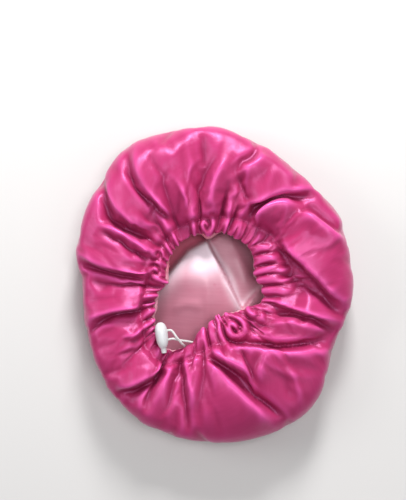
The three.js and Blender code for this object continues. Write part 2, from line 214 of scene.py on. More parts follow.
# %% Sections of both layers
SATIN_SECTION = [
    # front, share, height
    (1, 0.022, 28.1), (1, -0.012, 29.3),
    (1, 0.0, 31.0), (1, 0.08, 32.5), (1, 0.16, 33.0), (1, 0.26, 33.8), (1, 0.4, 35.5),
    (1, 0.56, 37.0), (1, 0.72, 37.2), (1, 0.86, 36.2), (1, 0.963, 32.0), (1, 1.0, 19.0),
    (0, 0.975, 9.5), (0, 0.91, 3.6), (0, 0.82, 0.8), (0, 0.72, 0.0), (0, 0.4, 0.0), (0, 0.0, 0.0),
]
RIM_STATION = 2
EDGE_STATION = 11
LINING_SECTION = [
    (1, 0.012, 28.9), (1, 0.002, 28.6), (1, 0.0, 27.4), (1, 0.02, 26.2), (1, 0.08, 25.6),
    (1, 0.16, 24.8), (1, 0.26, 25.0), (1, 0.4, 26.8), (1, 0.56, 28.3), (1, 0.72, 28.0),
    (1, 0.84, 26.0), (1, 0.9, 22.0), (1, 0.915, 17.0),
    (0, 0.93, 11.5), (0, 0.885, 7.0), (0, 0.81, 3.6), (0, 0.7, 2.4), (0, 0.4, 2.2), (0, 0.0, 2.2),
]


def rings_of(section, angles):
    """Each row of a section as a ring of points."""
    opening, outline = on_opening(angles), on_outline(angles)
    rings = []
    for front, share, height in section:
        plan = opening + (outline - opening) * share if front else outline * share
        rings.append(np.column_stack([plan, np.full(len(angles), height)]))
    return np.stack(rings)


def skin_of(section, angles, stations):
    """A grid of points on the smooth skin: one row for each station, one column for each angle."""
    rings = rings_of(section, angles)
    padded = np.concatenate([[2 * rings[0] - rings[1]], rings, [rings[-1]]])
    first = np.minimum(np.floor(stations).astype(int), len(section) - 2)
    four = (padded[first + k] for k in (0, 1, 2, 3))
    return spline_value(*four, (stations - first)[:, None, None])


def outwards(skin):
    """Unit normals of a grid whose rows run out from the rim and whose columns run round."""
    along = np.gradient(skin, axis=0)
    around = np.roll(skin, -1, axis=1) - np.roll(skin, 1, axis=1)
    normal = np.cross(along, around)
    return normal / np.maximum(np.linalg.norm(normal, axis=-1, keepdims=True), 1e-9)


def smooth_step(values):
    """Rises gently from 0 to 1."""
    held = np.clip(values, 0, 1)
    return held * held * (3 - 2 * held)


def rise(values, start, length):
    """Rises gently from 0 to 1 from a start over a length."""
    return smooth_step((values - start) / length)


print("section rows", len(SATIN_SECTION), "and", len(LINING_SECTION))

# %% [markdown]
# The cord's route repeats the one in the solids: out of the toggle's upper hole, over to the rim,
# once round the opening inside the casing, and back to the lower hole. In the casing it lies a
# fixed depth under the front's skin, so it is worked out from the same section.

# %% Route of the drawcord
TOGGLE_CENTRE = np.array([-42.6, -40.2, 38.8])
TOGGLE_TURN = np.radians(8)
CORD_DIAMETER = 1.8
HOLE_SPACING = 7.4
CASING_DEPTH = 4.6
CASING_START = 236
CASING_END = -92
CASING_STEP = 11
CORD_STATION = 1.0


def in_toggle(right, up, out=0.0):
    """Points given in the toggle's own frame."""
    cos = np.cos(TOGGLE_TURN)
    sin = np.sin(TOGGLE_TURN)
    return TOGGLE_CENTRE + np.stack([right * cos - up * sin, right * sin + up * cos, out], -1)


def straight_point(angle, station):
    """A point of the section with straight lines between its rows, as the solids have it."""
    rings = rings_of(SATIN_SECTION, np.array([float(angle)]))[:, 0]
    place = station + RIM_STATION
    return np.array([np.interp(place, np.arange(len(rings)), rings[:, k]) for k in range(3)])


def in_casing(angle, station=CORD_STATION, depth=CASING_DEPTH):
    """A point under the front's skin."""
    along = straight_point(angle, station + 0.5) - straight_point(angle, max(station - 0.5, 0))
    around = straight_point(angle + 1, station) - straight_point(angle - 1, station)
    way = np.cross(along, around)
    return straight_point(angle, station) - way / np.linalg.norm(way) * depth


cord_route = [
    in_toggle(0.5, HOLE_SPACING / 2),
    in_toggle(4.5, HOLE_SPACING / 2),
    in_toggle(8.0, HOLE_SPACING / 2 - 0.4),
    (-30.6, -41.4, 39.0),
    (-26.6, -46.6, 35.6),
    (-24.6, -49.0, 29.2),
    in_casing(250, 0.3, 5.6),
    in_casing(248.5, 0.85, 4.9),
    *(in_casing(angle) for angle in range(CASING_START, CASING_END, -CASING_STEP)),
    in_casing(CASING_END),
    in_casing(260, 0.4, 5.4),
    (-18.8, -46.0, 28.6),
    (-23.6, -44.8, 32.6),
    (-28.8, -43.8, 36.2),
    in_toggle(8.4, -HOLE_SPACING / 2 + 0.2),
    in_toggle(4.5, -HOLE_SPACING / 2),
    in_toggle(0.5, -HOLE_SPACING / 2),
]
cord_route = np.array(cord_route, float)


def centripetal(points, steps):
    """A smooth open curve through points, without loops where they lie close together."""
    ends = [2 * points[0] - points[1], *points, 2 * points[-1] - points[-2]]
    curve = []
    for p0, p1, p2, p3 in zip(ends, ends[1:], ends[2:], ends[3:]):
        t1 = np.linalg.norm(p1 - p0) ** 0.5
        t2 = t1 + np.linalg.norm(p2 - p1) ** 0.5
        t3 = t2 + np.linalg.norm(p3 - p2) ** 0.5
        t = np.linspace(t1, t2, steps, endpoint=False)[:, None]
        a1 = (t1 - t) / t1 * p0 + t / t1 * p1
        a2 = (t2 - t) / (t2 - t1) * p1 + (t - t1) / (t2 - t1) * p2
        a3 = (t3 - t) / (t3 - t2) * p2 + (t - t2) / (t3 - t2) * p3
        b1 = (t2 - t) / t2 * a1 + t / t2 * a2
        b2 = (t3 - t) / (t3 - t1) * a2 + (t - t1) / (t3 - t1) * a3
        curve.append((t2 - t) / (t2 - t1) * b1 + (t - t1) / (t2 - t1) * b2)
    return np.concatenate([*curve, [points[-1]]])


def length_of(points):
    """Length of a line of points."""
    return float(np.linalg.norm(np.diff(points, axis=0), axis=1).sum())


ROUTE_STEPS = 12
cord_line = centripetal(cord_route, ROUTE_STEPS)

# %% [markdown]
# The cord is a round elastic. A tube swept by hand along the line keeps full control of its own
# map: one coordinate runs along the cord in metres and the other once around it, so that the knit
# in its material stays the same size everywhere.

# %% Sweep the drawcord
CORD_SIDES = 14


def put_map(piece, name, places):
    """A map with one place for each corner of each face."""
    layer = piece.data.uv_layers.new(name=name)
    layer.data.foreach_set("uv", np.asarray(places, np.float32).ravel())


def tube(name, line, radius, sides):
    """A closed round tube along a line, with a map that runs along it and round it."""
    tangents = np.gradient(line, axis=0)
    tangents /= np.linalg.norm(tangents, axis=1, keepdims=True)
    side = np.cross(tangents[0], [0.0, 0.0, 1.0])
    turns = np.arange(sides) * 2 * np.pi / sides
    rings = []
    for point, tangent in zip(line, tangents):
        side = side - tangent * (side @ tangent)
        side /= np.linalg.norm(side)
        up = np.cross(tangent, side)
        rings.append(point + radius * (np.outer(np.cos(turns), side) + np.outer(np.sin(turns), up)))
    last = len(line) - 1
    corners = [[(k, i), (k, i + 1), (k + 1, i + 1), (k + 1, i)] for k in range(last) for i in range(sides)]
    corners.append([(0, i) for i in reversed(range(sides))])
    corners.append([(last, i) for i in range(sides)])
    faces = [[row * sides + column % sides for row, column in face] for face in corners]
    piece = add_mesh(name, np.concatenate(rings) * MM, faces)
    along = np.concatenate([[0], np.cumsum(np.linalg.norm(np.diff(line, axis=0), axis=1))]) * MM
    put_map(piece, "along_cord", [(along[row], column / sides) for face in corners for row, column in face])
    piece.data.shade_smooth()
    return piece


cord_piece = tube("drawcord_elastic", cord_line, CORD_DIAMETER / 2, CORD_SIDES)
print("cord faces", len(cord_piece.data.polygons))

# %% [markdown]
# Each main fold is a curve through three places on the front. A ridge has a steep side, towards
# which it leans, and a long gentle side. A crease is a narrow valley with sharp walls. Their
# heights are simply added, which lets one fold run into the next as cloth does.

# %% Folds of the front
FOLDS = [
    # angle and share of three places, height, width, lean
    ("top_crease", 94, 0.99, 94, 0.61, 93, 0.18, -8.0, 4.5, 0.0),
    ("top_puff_right", 84, 0.73, 88, 0.48, 92, 0.2, 5.0, 5.0, -0.2),
    ("top_puff_left", 107, 0.55, 104, 0.32, 103, 0.07, 3.5, 5.0, 0.0),
    ("crown_ridge_left", 118, 0.99, 122, 0.67, 112, 0.18, 8.0, 4.5, -0.3),
    ("left_brow", 122, 1.03, 136, 0.86, 132, 0.19, 10.0, 5.5, -0.4),
    ("left_brow_shadow", 146, 0.88, 143, 0.58, 140, 0.2, -6.0, 6.0, 0.0),
    ("left_upper", 150, 0.78, 148, 0.48, 148, 0.15, 6.5, 4.0, -0.3),
    ("left_middle", 166, 0.98, 166, 0.61, 160, 0.08, 8.5, 4.5, -0.4),
    ("left_middle_crease", 178, 0.97, 178, 0.6, 175, 0.22, -4.0, 7.0, 0.0),
    ("left_lower", 200, 1.06, 192, 0.7, 193, 0.04, 8.5, 4.5, -0.35),
    ("left_lower_small", 209, 0.56, 209, 0.27, 210, 0.01, 5.0, 4.0, -0.2),
    ("bottom_left", 224, 0.92, 231, 0.5, 238, 0.12, 9.0, 5.0, -0.4),
    ("bottom_left_crease", 242, 0.85, 240, 0.54, 239, 0.25, -3.5, 5.0, 0.0),
    ("bottom_left_broad", 240, 0.94, 238, 0.69, 235, 0.49, 3.0, 5.0, 0.0),
    ("bottom_crease", 261, 0.94, 255, 0.47, 246, 0.07, -7.5, 4.5, 0.0),
    ("bottom_short_ridge", 263, 0.66, 257, 0.37, 250, 0.1, 4.5, 4.0, 0.0),
    ("bottom_sweep", 294, 0.99, 284, 0.62, 262, 0.2, 11.0, 6.0, -0.45),
    ("bottom_sweep_crease", 291, 0.7, 282, 0.52, 271, 0.34, -8.0, 4.0, 0.0),
    ("bottom_hook", 299, 0.49, 286, 0.34, 270, 0.14, 8.0, 4.5, 0.15),
    ("lower_right_edge", 333, 1.0, 318, 0.56, 282, 0.21, 9.5, 5.0, -0.4),
    ("lower_right_crease", 344, 0.99, 334, 0.83, 322, 0.59, -7.0, 6.0, 0.0),
    ("lower_right_lobe", 296, 0.58, 306, 0.46, 317, 0.57, 5.5, 4.0, 0.2),
    ("lower_right_pleat", 304, 0.92, 310, 0.76, 314, 0.6, 4.0, 4.0, 0.2),
    ("right_lower", 343, 1.01, 348, 0.45, 348, 0.05, 7.5, 5.0, 0.3),
    ("right_lower_second", 338, 0.92, 337, 0.55, 330, 0.24, 3.5, 5.0, 0.2),
    ("right_valley", 354, 0.74, 2, 0.43, 19, 0.31, -7.0, 6.0, 0.0),
    ("right_sweep", 347, 1.07, 10, 0.57, 36, 0.33, 11.0, 6.0, 0.45),
    ("right_panel_edge", 42, 0.67, 52, 0.53, 55, 0.21, 10.0, 5.0, -0.45),
    ("right_panel_edge_outer", 16, 0.99, 27, 0.75, 42, 0.66, 11.0, 5.5, -0.45),
    ("right_hollow", 25, 0.96, 41, 0.85, 58, 0.42, -8.0, 7.0, 0.0),
    ("right_brim_outer", 19, 1.02, 31, 1.05, 42, 1.0, 7.0, 3.5, 0.3),
    ("right_brim", 42, 1.0, 54, 0.69, 68, 0.36, 9.0, 4.5, 0.35),
    ("upper_right_ridge", 72, 1.03, 70, 0.82, 78, 0.58, 8.0, 4.5, -0.25),
    ("upper_right_fold", 71, 0.94, 63, 0.91, 51, 0.87, 6.0, 4.0, 0.25),
    ("upper_right_crease", 79, 0.57, 73, 0.48, 66, 0.36, -4.5, 4.5, 0.0),
]
print(len(FOLDS), "folds, the highest is", max(FOLDS, key=lambda fold: fold[7])[0])

# %% [markdown]
# The height of a fold depends on how far a place lies beside its line and how far along it. A
# ridge is narrow on its steep side, where the cloth is undercut, and wide on its gentle side. It
# fades out at both ends, and it leans over its steep side.

# %% Shape of a fold
FOLD_PIECES = 24
STEEP_SIDE = 0.9
GENTLE_SIDE = 1.2
OVERHANG = 0.9
UNDERCUT = 0.8
FADE_IN = 0.3
FADE_OUT = 0.22
LEFT_AT_ENDS = 0.1
CREASE_POWER = 1.3
RIDGE_PEAK = 1.4
RIDGE_POWER = 1.7
RIDGE_FOOT = 2.6
UNDERCUT_PLACE = 1.5
UNDERCUT_WIDTH = 0.7
FULL_LEAN = 0.4


def beside(line, plan):
    """How far each place lies left of a line, how far along it, and which way left is there."""
    nearest = np.full(plan.shape[:-1], 1e9)
    along = np.zeros_like(nearest)
    left = np.zeros(plan.shape)
    for k in range(len(line) - 1):
        way = line[k + 1] - line[k]
        offset = plan - line[k]
        part = np.clip(offset @ way / (way @ way), 0, 1)
        distance = np.linalg.norm(offset - part[..., None] * way, axis=-1)
        side = np.where(way[0] * offset[..., 1] - way[1] * offset[..., 0] < 0, -1.0, 1.0)
        closer = distance < np.abs(nearest)
        nearest = np.where(closer, side * distance, nearest)
        along = np.where(closer, (k + part) / (len(line) - 1), along)
        left = np.where(closer[..., None], np.array([-way[1], way[0]]) / np.linalg.norm(way), left)
    return nearest, along, left


def bowed_line(first, middle, last, pieces):
    """Points on a smooth bow through three places."""
    first, middle, last = np.array([first, middle, last], float)
    handle = 2 * middle - 0.5 * (first + last)
    t = np.linspace(0, 1, pieces + 1)[:, None]
    return (1 - t) ** 2 * first + 2 * t * (1 - t) * handle + t**2 * last


def folds_at(plan):
    """Height of all folds at places in plan, and how far the cloth leans sideways there."""
    height = np.zeros(plan.shape[:-1])
    lean_over = np.zeros(plan.shape)
    for _, a0, s0, a1, s1, a2, s2, top, width, lean in FOLDS:
        line = bowed_line(on_front(a0, s0), on_front(a1, s1), on_front(a2, s2), FOLD_PIECES)
        distance, along, left = beside(line, plan)
        ends = smooth_step(along / FADE_IN) * smooth_step((1 - along) / FADE_OUT)
        ends = LEFT_AT_ENDS + (1 - LEFT_AT_ENDS) * ends
        if top < 0:
            height += top * ends * np.exp(-(np.abs(distance) / width) ** CREASE_POWER)
            continue
        steep = -1 if lean < 0 else 1
        narrow = width * (1 - STEEP_SIDE * abs(lean))
        wide = width * (1 + GENTLE_SIDE * abs(lean))
        reach = np.abs(distance) / np.where(distance * steep > 0, narrow, wide)
        amount = top * ends / (1 + RIDGE_PEAK * reach**RIDGE_POWER) * np.exp(-((reach / RIDGE_FOOT) ** 2))
        under = (distance * steep - UNDERCUT_PLACE * width) / (UNDERCUT_WIDTH * width)
        height += amount - UNDERCUT * abs(lean) / FULL_LEAN * top * ends * np.exp(-(under**2))
        lean_over += (steep * abs(lean) * OVERHANG * amount)[..., None] * left
    return height, lean_over


middle_height, _ = folds_at(on_front(290.0, 0.6))
print("the folds raise the bottom of the front by", round(float(middle_height), 1), "mm")

# %% [markdown]
# In a few places the gathered band is twisted, and the cloth curls up into a rosette. Each one is
# a small dome of ridges that wind round its middle, and the plain gathers fade out under it.

# %% Rosettes of twisted cloth
ROSETTES = [
    # middle, reach, ridge spacing, height, twist
    ((16.0, -35.0), 12.5, 8.6, 3.6, 1),
    ((-48.0, 11.5), 8.0, 6.6, 2.2, 1),
    ((-46.4, 24.8), 6.5, 6.0, 1.8, -1),
    ((-7.2, 49.5), 8.0, 6.4, 2.2, 1),
    ((32.0, -22.0), 8.0, 7.0, 2.4, -1),
]
EYE_RADIUS = 2
ROSETTE_DOME = 0.6
ROSETTE_ROUNDNESS = 0.7


def rosettes_at(plan):
    """Height of the rosettes, and how much of the plain gathers is left."""
    height = np.zeros(plan.shape[:-1])
    plain = np.ones(plan.shape[:-1])
    for middle, reach, spacing, top, twist in ROSETTES:
        offset = plan - middle
        distance = np.linalg.norm(offset, axis=-1)
        around = np.arctan2(offset[..., 1], offset[..., 0])
        here = np.exp(-((distance / reach) ** 4))
        wave = np.abs(np.cos(np.pi * distance / spacing - twist * around / 2))
        ridges = 2 * wave**ROSETTE_ROUNDNESS - 1
        height += here * top * (ROSETTE_DOME + ridges * smooth_step(distance / EYE_RADIUS))
        plain *= 1 - here
    return height, plain


print(len(ROSETTES), "rosettes")

# %% [markdown]
# The largest pleats stand up as round tubes, most of them beside the biggest rosette and at the
# right of the opening. Each tube is a bow through three places in plan with the height of half an
# ellipse, and it sinks into the puff at its far end.

# %% Tube pleats
TUBES = [
    # first, middle and last place, half width, height
    ((-11.5, -35.5), (-10.5, -47.0), (-6.0, -64.0), 5.4, 5.0),
    ((-2.0, -36.0), (1.5, -49.0), (9.0, -66.0), 4.2, 4.0),
    ((3.0, -38.0), (8.0, -49.0), (21.0, -62.0), 3.8, 3.2),
    ((10.0, -49.5), (22.0, -52.0), (37.0, -50.0), 3.4, 3.2),
    ((-20.5, -50.0), (-22.0, -60.0), (-25.0, -76.0), 4.2, 3.0),
    ((-28.0, -53.0), (-32.0, -62.0), (-38.0, -72.0), 3.6, 2.2),
    ((30.0, -22.0), (40.0, -27.0), (54.0, -31.0), 4.0, 3.0),
    ((30.5, 28.0), (42.0, 30.5), (54.0, 27.0), 3.6, 2.8),
    ((34.5, 20.5), (47.0, 22.0), (60.0, 18.0), 3.8, 3.4),
    ((37.0, 12.5), (49.0, 13.0), (61.0, 10.0), 3.8, 3.2),
    ((39.5, 4.5), (51.0, 5.0), (64.0, 2.0), 4.0, 3.4),
    ((41.5, -4.0), (53.0, -4.0), (62.0, -7.0), 3.8, 2.8),
]
TUBE_PIECES = 12
TUBE_SINKS = 0.6
TUBE_MARGIN = 1.3


def tubes_at(plan):
    """Height of the tube pleats, and how much of the plain gathers is left."""
    height = np.zeros(plan.shape[:-1])
    plain = np.ones(plan.shape[:-1])
    for first, middle, last, half_width, top in TUBES:
        distance, along, _ = beside(bowed_line(first, middle, last, TUBE_PIECES), plan)
        inside = np.clip(1 - (distance / half_width) ** 2, 0, 1)
        length_left = smooth_step((1 - along) / TUBE_SINKS)
        height = np.maximum(height, top * np.sqrt(inside) * length_left)
        plain *= 1 - np.exp(-((distance / half_width / TUBE_MARGIN) ** 4)) * length_left
    return height, plain


print(len(TUBES), "tube pleats")

# %% [markdown]
# The satin is a grid of points: columns run round the bonnet and rows run out from the rim. Rows
# lie close together at the rim, where the gathers are, and far apart under the crown. The number
# of columns is a multiple of the number of gathers, which keeps each gather equally well drawn.

# %% Grid of the satin
GATHERS = 44
COLUMNS = 8 * GATHERS
SECTION_SAMPLES = 3401
SATIN_SPACINGS = [
    # station, millimetres between rows
    (0, 1.0), (2, 1.4), (3.5, 2.0), (5, 2.5), (11, 3.2), (13, 4.5), (14, 7.0), (15, 10.0), (17, 12.0),
]
angles = np.arange(COLUMNS) * 360.0 / COLUMNS


def along_rows(rows, table):
    """A value for each row, from a short table of stations and values."""
    stations, values = zip(*table)
    return np.interp(rows, stations, values)


def lengths_of(section):
    """Many stations of a section, and the mean length of cloth from the rim to each."""
    stations = np.linspace(0, len(section) - 1, SECTION_SAMPLES)
    skin = skin_of(section, np.arange(0, 360, STEP), stations)
    steps = np.linalg.norm(np.diff(skin, axis=0), axis=-1).mean(axis=1)
    return stations, np.concatenate([[0], np.cumsum(steps)])


def spread_rows(section, spacings):
    """Stations for the grid's rows, so that the rows lie about the given millimetres apart."""
    stations, lengths = lengths_of(section)
    rows = [0.0]
    place = along_rows(0.0, spacings)
    while place <= lengths[-1] - spacings[-1][1] / 2:
        rows.append(float(np.interp(place, lengths, stations)))
        place += along_rows(rows[-1], spacings)
    return np.array(rows)


satin_rows = spread_rows(SATIN_SECTION, SATIN_SPACINGS)
satin_base = skin_of(SATIN_SECTION, angles, satin_rows)
satin_ways = outwards(satin_base)
satin_run = round(lengths_of(SATIN_SECTION)[1][-1])
print("satin grid", len(satin_rows), "rows,", COLUMNS, "columns, rim to middle", satin_run, "mm")

# %% [markdown]
# Gathers come at three sizes. The small ones are the casing's own pleats, as wide as the cord can
# push the cloth together, and they end at the stitch line. Two of them always run into one wider
# pleat, and two of those into one broad fold that fades in the puff. A pleat is a round tube with a
# sharp valley on each side, and the cloth was pressed, so it lies over to one side. All of it
# wanders a little round the ring, from a fixed seed, because no two real gathers are alike. The
# pleats are wide at the bottom, short on the plain flap at the upper right, and a few loops of the
# rim reach further into the opening.

# %% Gathers round the ring
SEED = 11
draw = np.random.default_rng(SEED)


def wander(strength, harmonics):
    """A smooth random value round the ring, with the given spread."""
    turn = np.radians(angles)
    total = np.zeros(COLUMNS)
    for k in range(1, harmonics + 1):
        total += draw.normal() / k**0.5 * np.cos(k * turn + draw.uniform(0, 2 * np.pi))
    return strength * total / total.std()


def varied(amount, harmonics, least, most):
    """Values round 1 that wander within limits."""
    return 1 + amount * np.clip(wander(1.0, harmonics), least, most) / most


def near(middle, half_width, power=2):
    """1 at one angle round the ring, and 0 well away from it."""
    return np.exp(-np.abs(((angles - middle + 180) % 360 - 180) / half_width) ** power)


# Places round the ring: an angle and a half width in degrees.
WIDE_PLEATS = (272, 42)
WIDE_PLEATS_SPREAD = 0.35
WIDE_PLEATS_LONGER = 0.6
PLAIN_FLAP = (48, 38)
PLAIN_FLAP_SHORTER = 0.45
MOST_SKEW = 0.85
RIM_LOOPS = [
    # angle, half width in degrees, reach into the opening in millimetres
    (262, 6.5, 4.8), (277, 6, 3.0), (291, 6.5, 3.4), (305, 6, 2.2), (172, 6, 1.8), (86, 7, 2.4),
    (36, 4, 1.6), (28, 3.6, 2.0), (19, 4, 1.8), (10, 4, 2.2), (0, 4, 1.8),
]
opening_points = on_opening(angles)
arc = np.linalg.norm(np.roll(opening_points, -1, 0) - np.roll(opening_points, 1, 0), axis=-1)
wide_pleats = near(*WIDE_PLEATS)
flap = near(*PLAIN_FLAP, 4)
density = arc * (1 - WIDE_PLEATS_SPREAD * wide_pleats)
small_phase = GATHERS * 2 * np.pi * np.cumsum(density) / density.sum() + wander(1.5, 16)
middle_phase = small_phase / 2 + wander(0.5, 7)
broad_phase = small_phase / 4 + wander(0.6, 5)
small_size = varied(0.5, 24, -1.8, 1.8)
middle_size = varied(0.6, 12, -1.6, 1.6)
pleat_length = varied(0.5, 14, -1.5, 1.8)
pleat_length *= 1 + WIDE_PLEATS_LONGER * wide_pleats
pleat_length *= 1 - PLAIN_FLAP_SHORTER * flap
slant = wander(1.2, 10)
skew = MOST_SKEW * np.tanh(wander(0.9, 5))
rim_drift = wander(0.8, 16)
for loop_angle, loop_width, loop_reach in RIM_LOOPS:
    rim_drift += loop_reach * near(loop_angle, loop_width, 4)
print(GATHERS, "gathers and", len(RIM_LOOPS), "rim loops")

# %% [markdown]
# The height of the cloth over the front follows from those values. The small pleats lie on the
# casing, the stitch line pulls a groove into the cloth, and the puff rises behind it.

# %% Casing and pleats
SMALL_HEIGHT = 1.3
MIDDLE_HEIGHT = 3.4
BROAD_HEIGHT = 2.6
FADED_ON_FLAP = 0.85
FADED_AT_EDGE = 0.2
PLEAT_ROUNDNESS = 0.7
PLEAT_LEVEL = 1.3
GROOVE_DEPTH = 1.1
GROOVE_PLACE = 1.05
GROOVE_WIDTH = 0.2
PUFF_HEIGHT = 3.0
RUFFLE = 1.2
RUFFLE_WIDTH = 0.1
# Each rise or fade is a start and a length: in band widths for the small pleats and for the puff's
# rise, in pleat lengths for the other pleats' fades, and in shares of the front for the rest.
SMALL_FADE = (0.6, 0.8)
MIDDLE_RISE = (-0.06, 0.12)
MIDDLE_FADE = (0.14, 0.4)
BROAD_RISE = (0.06, 0.25)
BROAD_FADE = (0.4, 0.5)
PUFF_RISE = (GROOVE_PLACE, 0.6)
PUFF_FADE = (0.35, 0.4)
# Where a slanted pleat crosses the line of an upright one.
SMALL_PIVOT = 0.4
MIDDLE_PIVOT = 0.2
band_width = through(BAND, angles / STEP)
front_reach = np.linalg.norm(on_outline(angles) - on_opening(angles), axis=-1)
inward = (on_opening(angles) - on_outline(angles)) / front_reach[:, None]
sideways = np.stack([inward[:, 1], -inward[:, 0]], -1)


def share_of(section, stations):
    """Share of the way over the front at each station: 0 before the rim, 1 behind the edge."""
    shares = [share if front else 1.0 for front, share, _ in section]
    return np.clip(np.interp(stations, np.arange(len(section)), shares), 0, 1)[:, None]


def pleats(phase):
    """Round ridges with sharp valleys between them, each pressed over to one side."""
    return 2 * np.abs(np.cos((phase + skew * np.cos(phase)) / 2)) ** PLEAT_ROUNDNESS - PLEAT_LEVEL


def casing_height(share, plain):
    """Height of gathers, stitch groove and puff over the front, and of the gathers alone."""
    across = share * front_reach / band_width
    run = share / pleat_length
    small = SMALL_HEIGHT * (1 - rise(across, *SMALL_FADE)) * small_size
    small = small * pleats(small_phase + slant * (across - SMALL_PIVOT)) * plain
    middle = MIDDLE_HEIGHT * rise(share, *MIDDLE_RISE) * (1 - rise(run, *MIDDLE_FADE))
    middle = middle * middle_size * pleats(middle_phase + slant * (share - MIDDLE_PIVOT)) * plain
    broad = BROAD_HEIGHT * rise(share, *BROAD_RISE) * (1 - rise(run, *BROAD_FADE))
    broad = broad * pleats(broad_phase) * (1 - FADED_ON_FLAP * flap)
    broad = broad * smooth_step((1 - share) / FADED_AT_EDGE)
    groove = -GROOVE_DEPTH * np.exp(-(((across - GROOVE_PLACE) / GROOVE_WIDTH) ** 2))
    puff = PUFF_HEIGHT * rise(across, *PUFF_RISE) * (1 - rise(share, *PUFF_FADE))
    return small + middle + broad + groove + puff, small + middle


def ruffle_at(share, plain):
    """How far the rim's scallops reach into the opening."""
    scallops = RUFFLE * pleats(small_phase) * small_size * plain + rim_drift
    return np.exp(-((share / RUFFLE_WIDTH) ** 2)) * scallops


print("casing", round(float(band_width.min()), 1), "to", round(float(band_width.max()), 1), "mm wide")

# %% [markdown]
# Pressed satin also has many short creases with flat facets between them. Each one is a small step:
# the cloth stands a little higher on one side of a straight line than on the other. They run mostly
# outwards, and are laid from the same seed.

# %% Short creases
CREASES = 140
CREASE_SHARES = (0.2, 0.97)
CREASE_LENGTHS = (14.0, 44.0)
CREASE_WIDTHS = (1.4, 3.0)
CREASE_HEIGHTS = (0.5, 1.6)
CREASE_SWING = 32.0
CREASE_BOW = 0.6
CREASE_FALL = 1.2
CREASES_FADED_ON_FLAP = 0.6


def creases_at(plan):
    """Height of the short creases at places in plan."""
    height = np.zeros(plan.shape[:-1])
    for _ in range(CREASES):
        angle = draw.uniform(0, 360)
        middle = on_front(angle, draw.uniform(*CREASE_SHARES))
        way = on_outline(angle) - on_opening(angle)
        swing = np.arctan2(way[1], way[0]) + np.radians(draw.normal() * CREASE_SWING)
        length = draw.uniform(*CREASE_LENGTHS)
        width = draw.uniform(*CREASE_WIDTHS)
        top = draw.uniform(*CREASE_HEIGHTS)
        offset = plan - middle
        along = offset[..., 0] * np.cos(swing) + offset[..., 1] * np.sin(swing)
        across = offset[..., 1] * np.cos(swing) - offset[..., 0] * np.sin(swing)
        across = across + along**2 * draw.uniform(-CREASE_BOW, CREASE_BOW) / length
        ends = np.exp(-((2 * along / length) ** 4))
        height += top * ends * across / width / (1 + (across / width) ** 2) ** CREASE_FALL
    return height


print(CREASES, "short creases")

# %% [markdown]
# Now the shape of the front is the smooth skin plus folds, gathers and casing, with the ridges
# leaning over. The height is kept within limits, so that no valley reaches the lining below.

# %% Shape of the satin
HIGHEST_RIDGE = 11.0
DEEPEST_VALLEY = 6.0
VALLEY_AT_RIM = 2.0
PRESSED_OVER = 0.6
SIDE_ROWS = [(8, 0), (10.5, 1), (12.5, 1), (14, 0.4), (16, 0)]
SIDE_FOLDS = 0.35
SIDE_PLEATS = 0.45
RIM_ROWS = [(0, 0.2), (RIM_STATION, 0.45), (RIM_STATION + 0.8, 1)]
# What is left of folds and creases at the edge and at the rim, and how far that reaches.
FOLDS_AT_EDGE = 0.3
FOLDS_AT_RIM = 0.1
CREASES_AT_EDGE = 0.35
EDGE_REACH = 0.3
RIM_REACH = 0.2
CREASE_RISE = (0.12, 0.15)
LEAN_RISE = (0.08, 0.2)
VALLEY_RISE = (0.02, 0.26)
# The last shares of the front are too steep for a high ridge.
LAST_SHARES = 0.9
LAST_RIDGE = 1.2


def left_over(part, strength):
    """Part of a height is always left, and the rest comes with a strength from 0 to 1."""
    return part + (1 - part) * strength


def valley_limit(share):
    """How deep the cloth may go under the smooth skin."""
    return VALLEY_AT_RIM + (DEEPEST_VALLEY - VALLEY_AT_RIM) * rise(share, *VALLEY_RISE)


satin_plan = satin_base[..., :2]
satin_share = share_of(SATIN_SECTION, satin_rows)
is_front = (satin_rows <= EDGE_STATION)[:, None]
off_edge = smooth_step((1 - satin_share) / EDGE_REACH)
fold_height, fold_lean = folds_at(satin_plan)
fold_height = HIGHEST_RIDGE * np.tanh(fold_height / HIGHEST_RIDGE)
fold_height *= left_over(FOLDS_AT_EDGE, off_edge)
fold_height *= left_over(FOLDS_AT_RIM, smooth_step(satin_share / RIM_REACH))
last_height = np.minimum(fold_height, LAST_RIDGE)
fold_height = np.where(satin_share > LAST_SHARES, last_height, fold_height)
rosette_height, plain_gathers = rosettes_at(satin_plan)
tube_height, plain_beside = tubes_at(satin_plan)
plain_gathers *= plain_beside
casing_rise, gather_rise = casing_height(satin_share, plain_gathers)
crease_height = creases_at(satin_plan) * rise(satin_share, *CREASE_RISE)
crease_height *= left_over(CREASES_AT_EDGE, off_edge) * (1 - CREASES_FADED_ON_FLAP * flap)
satin_height = is_front * (fold_height + rosette_height + tube_height + casing_rise + crease_height)
side_height = SIDE_FOLDS * pleats(broad_phase) + SIDE_PLEATS * pleats(middle_phase) * middle_size
satin_height += along_rows(satin_rows, SIDE_ROWS)[:, None] * side_height
limit = valley_limit(satin_share)
satin_height = np.where(satin_height < 0, limit * np.tanh(satin_height / limit), satin_height)
satin_height *= along_rows(satin_rows, RIM_ROWS)[:, None]
print("ridges up to", round(float(satin_height.max()), 1), "mm over the smooth skin")

# %% [markdown]
# The heights are laid on along the skin's own normals. Then the cloth is moved sideways as well: the
# scallops reach into the opening, the pleats are pressed over and the ridges lean.

